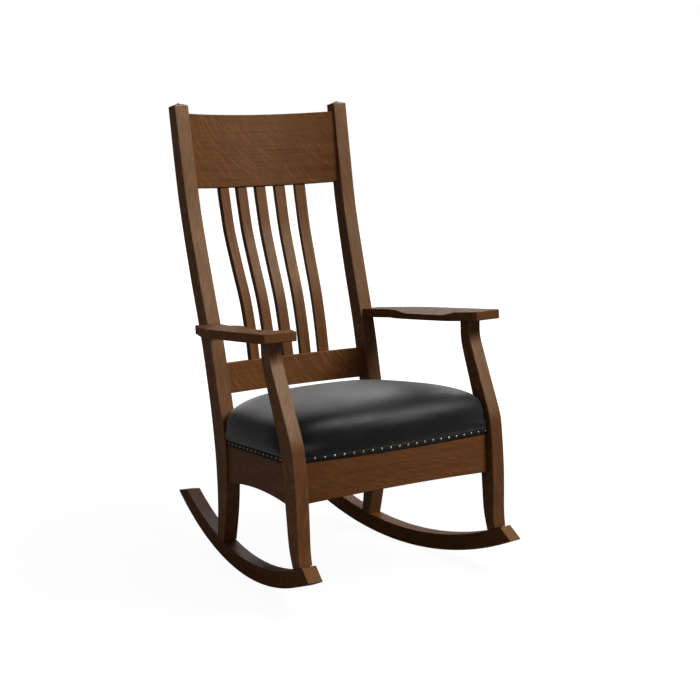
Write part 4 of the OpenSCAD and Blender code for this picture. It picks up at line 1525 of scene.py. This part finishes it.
@dataclass
class Cushion(Piece):
    """The crowned leather seat with its border strip and nails, in the seat's own directions."""

    crown_h: float = 135
    bulge_z: float = 43.5
    border_h: float = 13.5
    lift: float = 0.4
    tuck: float = 4
    side_swell: float = 12
    front_swell: float = 6
    crown_power: float = 2.9
    base_power: float = 20
    bulge_power: float = 6.2
    top_power: float = 3
    grow: float = 2
    slack: float = 3
    around: int = 200
    base_rings: tuple[float, ...] = (0.02, 0.5, 0.8, 0.97)
    side_rings: int = 9
    crown_rings: int = 34
    least_share: float = 0.004
    border_thick: float = 1.9
    border_lap: float = 4
    nail_d: float = 6.8
    nail_rise: float = 2
    nail_rim: float = 0.25
    nail_pitch: float = 24.7
    nail_z: float = 7.4
    nail_tip: float = 2
    nail_points: int = 20
    front_nails: int = 22
    first_nail: float = 4
    leather: Leather = Leather("leather_black")
    strip: Leather = Leather("leather_border", base=(0.0025, 0.0025, 0.0025), rough=0.6, gloss=0.2,
                             sheen=0.0)
    nails: Metal = Metal("nail_metal", base=(0.33, 0.285, 0.225), rough=0.28)

    def ring(self, share: float, power: float, swell: float, v: float, inset: float) -> Grid:
        """One level outline of the cushion: a superellipse stretched to the seat's edges.

        Args:
            share: Its size, from 1 at the bulge to 0 at the crown.
            power: How square it is.
            swell: Share of the full swell.
            v: Its height over the seat frame.
            inset: How much smaller it is than the full form, in millimetres.

        Returns:
            Array (points, 3) in the seat's own directions.
        """
        t = np.linspace(0, 2 * math.pi, self.around, endpoint=False) + math.pi / 4
        qa, qb = np.cos(t), np.sin(t)
        size = (np.abs(qa) ** power + np.abs(qb) ** power) ** (1 / power)
        qa, qb = qa * share / size, qb * share / size
        front_u, rear_u = SEAT.front_u, SEAT.rear_u + SEAT.rail_thick
        u = (front_u + rear_u) / 2 + ((rear_u - front_u) / 2 + self.grow - inset) * qb
        x = qa * (SEAT.side_x(u) + self.grow - inset + self.side_swell * swell)
        u = u - np.maximum(0, -qb) * (SEAT.front_bow * (1 - qa**2) + self.front_swell * swell)
        return np.stack([x, u, np.full_like(u, v)], -1)

    def form(self, inset: float) -> Grid:
        """The cushion's rings: a flat underside, sides that swell to the bulge, and an elliptic crown.

        Args:
            inset: How much smaller than the full form, in millimetres.

        Returns:
            Array (rings, points, 3) in metres of the scene.
        """
        low, rise = self.border_h + self.lift, self.crown_h - inset - self.bulge_z
        rows = [self.ring(f, self.base_power, 0, low - self.tuck, 0) for f in self.base_rings]
        for t in np.linspace(0, 1, self.side_rings):
            ease = t * (2 - t)
            power = self.base_power + (self.bulge_power - self.base_power) * ease
            rows.append(self.ring(1, power, ease, low + (self.bulge_z - low) * t, inset * ease))
        for angle in np.linspace(0, math.pi / 2, self.crown_rings)[1:]:
            share = max(math.cos(angle), 1e-3) ** (2 / self.crown_power)
            v = self.bulge_z + rise * math.sin(angle) ** (2 / self.crown_power)
            power = self.top_power + (self.bulge_power - self.top_power) * share**4
            rows.append(self.ring(max(share, self.least_share), power, share, v, inset))
        return LINES.placed(LINES.from_seat(np.array(rows)))

    def cover(self) -> bpy.types.Object:
        """The leather cover, puffed by a short cloth simulation.

        Returns:
            The object.
        """
        start = ring_object("seat_leather", self.form(self.slack), sharp=180)
        return Swell().puff(start, (LINES.seat_z + self.border_h) * MM)

    def border(self) -> bpy.types.Object:
        """The narrow leather strips: one section carried along the front and both sides.

        Returns:
            The object.
        """
        t, low, high = self.border_thick, 0.3, self.border_h + 0.2
        section = np.array([(0.1, low), (t * 0.7, low), (t, low + 0.8), (t * 1.02, (low + high) / 2),
                            (t, high - 1.2), (t * 0.75, high - 0.3), (0.1, high)])
        half = SEAT.front_half - self.lift
        x = np.linspace(-half, half, 90)
        u = np.linspace(SEAT.side_ends[1] - self.border_lap, SEAT.side_ends[3] + self.border_lap, 60)
        runs = [(np.stack([x, SEAT.front_face(x)], -1), (0, -1)),
                *((np.stack([side.value * SEAT.side_x(u), u], -1), (side.value, 0)) for side in Side)]
        points, faces = [], []
        for run, out in runs:
            flat = run[:, None] + np.array(out) * section[:, :1]
            level = np.broadcast_to(section[:, 1:], (*flat.shape[:2], 1))
            faces += (ring_faces(*flat.shape[:2]) + sum(map(len, points))).tolist()
            points.append(np.concatenate([flat, level], -1).reshape(-1, 3))
        return mesh_object("seat_border_strip", LINES.placed(LINES.from_seat(np.concatenate(points))), faces)

    def nail_rows(self) -> Iterable[tuple[float, float, float]]:
        """The nails, evenly spaced on the front's arc and on the straight sides.

        A side's row starts half a pitch behind its first nail's mark and ends just before the rear post.

        Returns:
            The place of each as (x, u, turn in degrees).
        """
        radius = bow_radius(SEAT.front_half, SEAT.front_bow)
        for i in range(self.front_nails):
            x = (i - (self.front_nails - 1) / 2) * self.nail_pitch
            yield x, float(SEAT.front_face(x)), math.degrees(math.asin(x / radius))
        for side in Side:
            for i in np.arange(0.5, SEAT.side_len / self.nail_pitch - 0.6):
                u = SEAT.side_ends[1] + self.first_nail + i * self.nail_pitch
                yield side.value * float(SEAT.side_x(u)), u, side.value * (90 + SEAT.side_turn)

    def nail_heads(self) -> bpy.types.Object:
        """The nail heads as one mesh: quarter ellipses turned about an axis, each tipped a little.

        Returns:
            The object.
        """
        around, r, rim = self.nail_points, self.nail_d / 2, self.nail_rim
        turn = np.linspace(0, 2 * math.pi, around, endpoint=False)
        profile = [(r * 0.9, -0.1), (r, rim), *((r * math.cos(t), rim + (self.nail_rise - rim) * math.sin(t))
                                                for t in (0.35, 0.7, 1.05, 1.35))]
        head = np.concatenate([*(np.stack([p * np.cos(turn), p * np.sin(turn), np.full(around, h)], -1)
                                 for p, h in profile), [(0, 0, self.nail_rise)]])
        top = len(head) - 1
        last = np.arange(top - around, top)
        fan = np.stack([last, np.roll(last, -1), np.full(around, top)], -1)
        rng = np.random.default_rng(7)
        points, faces = [], []
        for number, (x, u, angle) in enumerate(self.nail_rows()):
            tipped = turned(Axis.X, 90 + rng.normal(0, self.nail_tip), head + [0, 0, self.border_thick + 0.1])
            points.append(turned(Axis.Z, angle, tipped) + [x, u, self.nail_z])
            for part in (ring_faces(len(profile), around), fan):
                faces += (part + number * len(head)).tolist()
        placed = LINES.placed(LINES.from_seat(np.concatenate(points)))
        return mesh_object("seat_nail_heads", placed, faces, sharp=50)

    def build(self) -> None:
        """Builds the cover, the border and the nails."""
        cover = self.settle(self.cover(), self.leather, "seat_leather", "seat_cover", "seat_foam")
        self.settle(self.border(), self.strip, "border_leather", "seat_border")
        self.settle(self.nail_heads(), self.nails, "nail_brass", "seat_nails")


@dataclass
class HiddenPieces:
    """Pieces that keep the frame's own shape and only get a finish."""

    block: PlainWood = PlainWood("block_wood")
    ply: PlainWood = PlainWood("ply_wood", (0.3, 0.19, 0.1), (0.2, 0.12, 0.06), (6.0, 90.0, 700.0))
    plug: PlainWood = PlainWood("plug_oak", (0.085, 0.038, 0.017), (0.04, 0.017, 0.008))
    steel: Metal = Metal("screw_steel", base=(0.5, 0.5, 0.5))

    def build(self, nodes: dict[str, bpy.types.Object]) -> None:
        """Dresses the frame's nodes that stay.

        Args:
            nodes: The frame's nodes by name.
        """
        finishes = {"seat_board": self.ply, "corner_block_screws": self.steel, "arm_screws": self.steel,
                    "screw_plugs": self.plug, "rocker_dowels": self.block, "arm_dowels": self.block}
        for end in ("front", "rear"):
            for side in Side:
                finishes[f"corner_block_{end}_{side.word}"] = self.block
        for name, finish in finishes.items():
            for spot in nodes[name].material_slots:
                spot.material = material(finish)
            LOG.info("%s: dressed", name)


# Studio


def axes_at(right: Grid, up: Grid, back: Grid, spot: Sequence[float]) -> Matrix:
    """A matrix with three given axes at a place."""
    turn = np.column_stack([right, up, back])
    return Matrix([[*turn[i], spot[i]] for i in range(3)] + [[0, 0, 0, 1]])


@dataclass(frozen=True)
class Lamp:
    """A soft studio lamp.

    Args:
        name: Its name.
        spot: Where it hangs.
        aim: What it points at.
        size: Its width and height.
        power: Its power in watts.
    """

    name: str
    spot: Spot
    aim: Spot
    size: tuple[float, float]
    power: float

    def hang(self) -> None:
        """Adds the lamp to the scene, its face turned to its aim."""
        light = bpy.data.lights.new(self.name, "AREA")
        light.shape = "RECTANGLE"
        light.size, light.size_y = self.size
        light.energy = self.power
        obj = bpy.data.objects.new(self.name, light)
        back = np.subtract(self.spot, self.aim)
        back = back / np.linalg.norm(back)
        right = np.cross((0, 0, 1), back)
        right = right / np.linalg.norm(right)
        obj.matrix_world = axes_at(right, np.cross(back, right), back, self.spot)
        obj.visible_camera = False
        bpy.context.scene.collection.objects.link(obj)


@dataclass
class Studio:
    """Floor, lamps, world and camera.

    Args:
        azimuth: The camera's place about the upright, in degrees from the front.
        elevation: How far it looks down, in degrees.
        roll: Its turn about its own axis, in radians.
        focal_px: Its focal length in pixels of the photograph.
        image_px: The photograph's width in pixels.
        sensor: Its sensor's width in millimetres.
        spot: The camera's place.
        world_light: Strength of the world's light on the chair.
        floor_half: Half the floor's width.
        floor_tone: How light the floor's own surface is.
        floor_glow: Strength of the white that the camera sees on the floor.
        near_white: Share of that white beside the chair, where a faint shadow stays.
        white_from: Distance from the chair at which the floor starts to whiten.
        white_past: Distance past which the floor is wholly white.
        lamps: The lamps.
    """

    azimuth: float = -34.379
    elevation: float = 10.02
    roll: float = 0.0015
    focal_px: float = 1600.0
    image_px: float = 700.0
    sensor: float = 36.0
    spot: Spot = (-2.13881, -3.23389, 1.20530)
    world_light: float = 0.15
    floor_half: float = 9.0
    floor_tone: float = 0.2
    floor_glow: float = 1.27
    near_white: float = 0.75
    white_from: float = 0.7
    white_past: float = 1.7
    lamps: tuple[Lamp, ...] = (
        Lamp("key_lamp", (2.2, -2.4, 3.8), (0, -0.1, 0.5), (2.0, 2.0), 280),
        Lamp("rear_lamp", (2.1, 2.7, 2.5), (0, 0, 0.5), (2.4, 1.4), 64),
        Lamp("left_lamp", (-3.4, -0.9, 1.2), (0, 0, 0.6), (2.4, 2.0), 15),
    )

    def camera(self) -> None:
        """Adds the camera at the photograph's place and view."""
        (ca, sa), (ce, se) = cos_sin(self.azimuth), cos_sin(self.elevation)
        back = np.array([sa * ce, -ca * ce, se])
        right = np.array([ca, sa, 0.0])
        up = np.cross(back, right)
        c, s = math.cos(self.roll), math.sin(self.roll)
        data = bpy.data.cameras.new("camera")
        data.sensor_width = self.sensor
        data.lens = self.focal_px / self.image_px * self.sensor
        obj = bpy.data.objects.new("camera", data)
        obj.matrix_world = axes_at(c * right + s * up, c * up - s * right, back, self.spot)
        bpy.context.scene.collection.objects.link(obj)
        bpy.context.scene.camera = obj

    def world(self) -> None:
        """A soft grey world that the camera sees as white."""
        world = bpy.data.worlds.new("studio_world")
        bpy.context.scene.world = world
        tree = Nodes(world)
        plain = tree.node("Background", {"Color": WHITE, "Strength": self.world_light})
        white = tree.node("Background", {"Color": WHITE, "Strength": 1.0})
        seen = tree.node("LightPath").outputs["Is Camera Ray"]
        tree.node("OutputWorld", {"Surface": tree.node("MixShader", {0: seen, 1: plain, 2: white})})

    def floor(self) -> None:
        """A pale floor that shows white, with a faint shadow near the chair."""
        corners = np.array([(-1, -1, 0), (1, -1, 0), (1, 1, 0), (-1, 1, 0)]) * self.floor_half
        obj = mesh_object("studio_floor", corners, [[0, 1, 2, 3]])
        s = Shader("floor_pale")
        s.finished({"Base Color": shaded(WHITE, self.floor_tone), "Roughness": 0.9,
                    "Specular IOR Level": 0.0})
        glow = s.node("Emission", {"Color": WHITE, "Strength": self.floor_glow})
        reach = s.node("VectorMath", {0: s.object_place()}, operation="LENGTH").outputs["Value"]
        far = s.ramp(reach, self.white_from, self.white_past)
        share = s.plus_share(self.near_white, far, 1 - self.near_white)
        seen = s.math("MULTIPLY", s.node("LightPath").outputs["Is Camera Ray"], share)
        s.link(s.node("MixShader", {0: seen, 1: s.surface, 2: glow}), s.output.inputs["Surface"])
        obj.data.materials.append(s.material)

    def build(self) -> None:
        """Sets up the whole studio."""
        bpy.context.scene.view_settings.view_transform = "Standard"
        self.camera()
        self.world()
        self.floor()
        for lamp in self.lamps:
            lamp.hang()


def main() -> None:
    """Loads the frame, and builds the chair's looks and the studio."""
    logging.basicConfig(level=logging.INFO, format="%(name)s: %(message)s")
    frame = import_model()
    for part in (Rockers(), Posts(), Back(), SeatFrame(), Arms(), Cushion()):
        part.build()
    HiddenPieces().build(frame["nodes"])
    Studio().build()


if __name__ == "__main__":
    main()
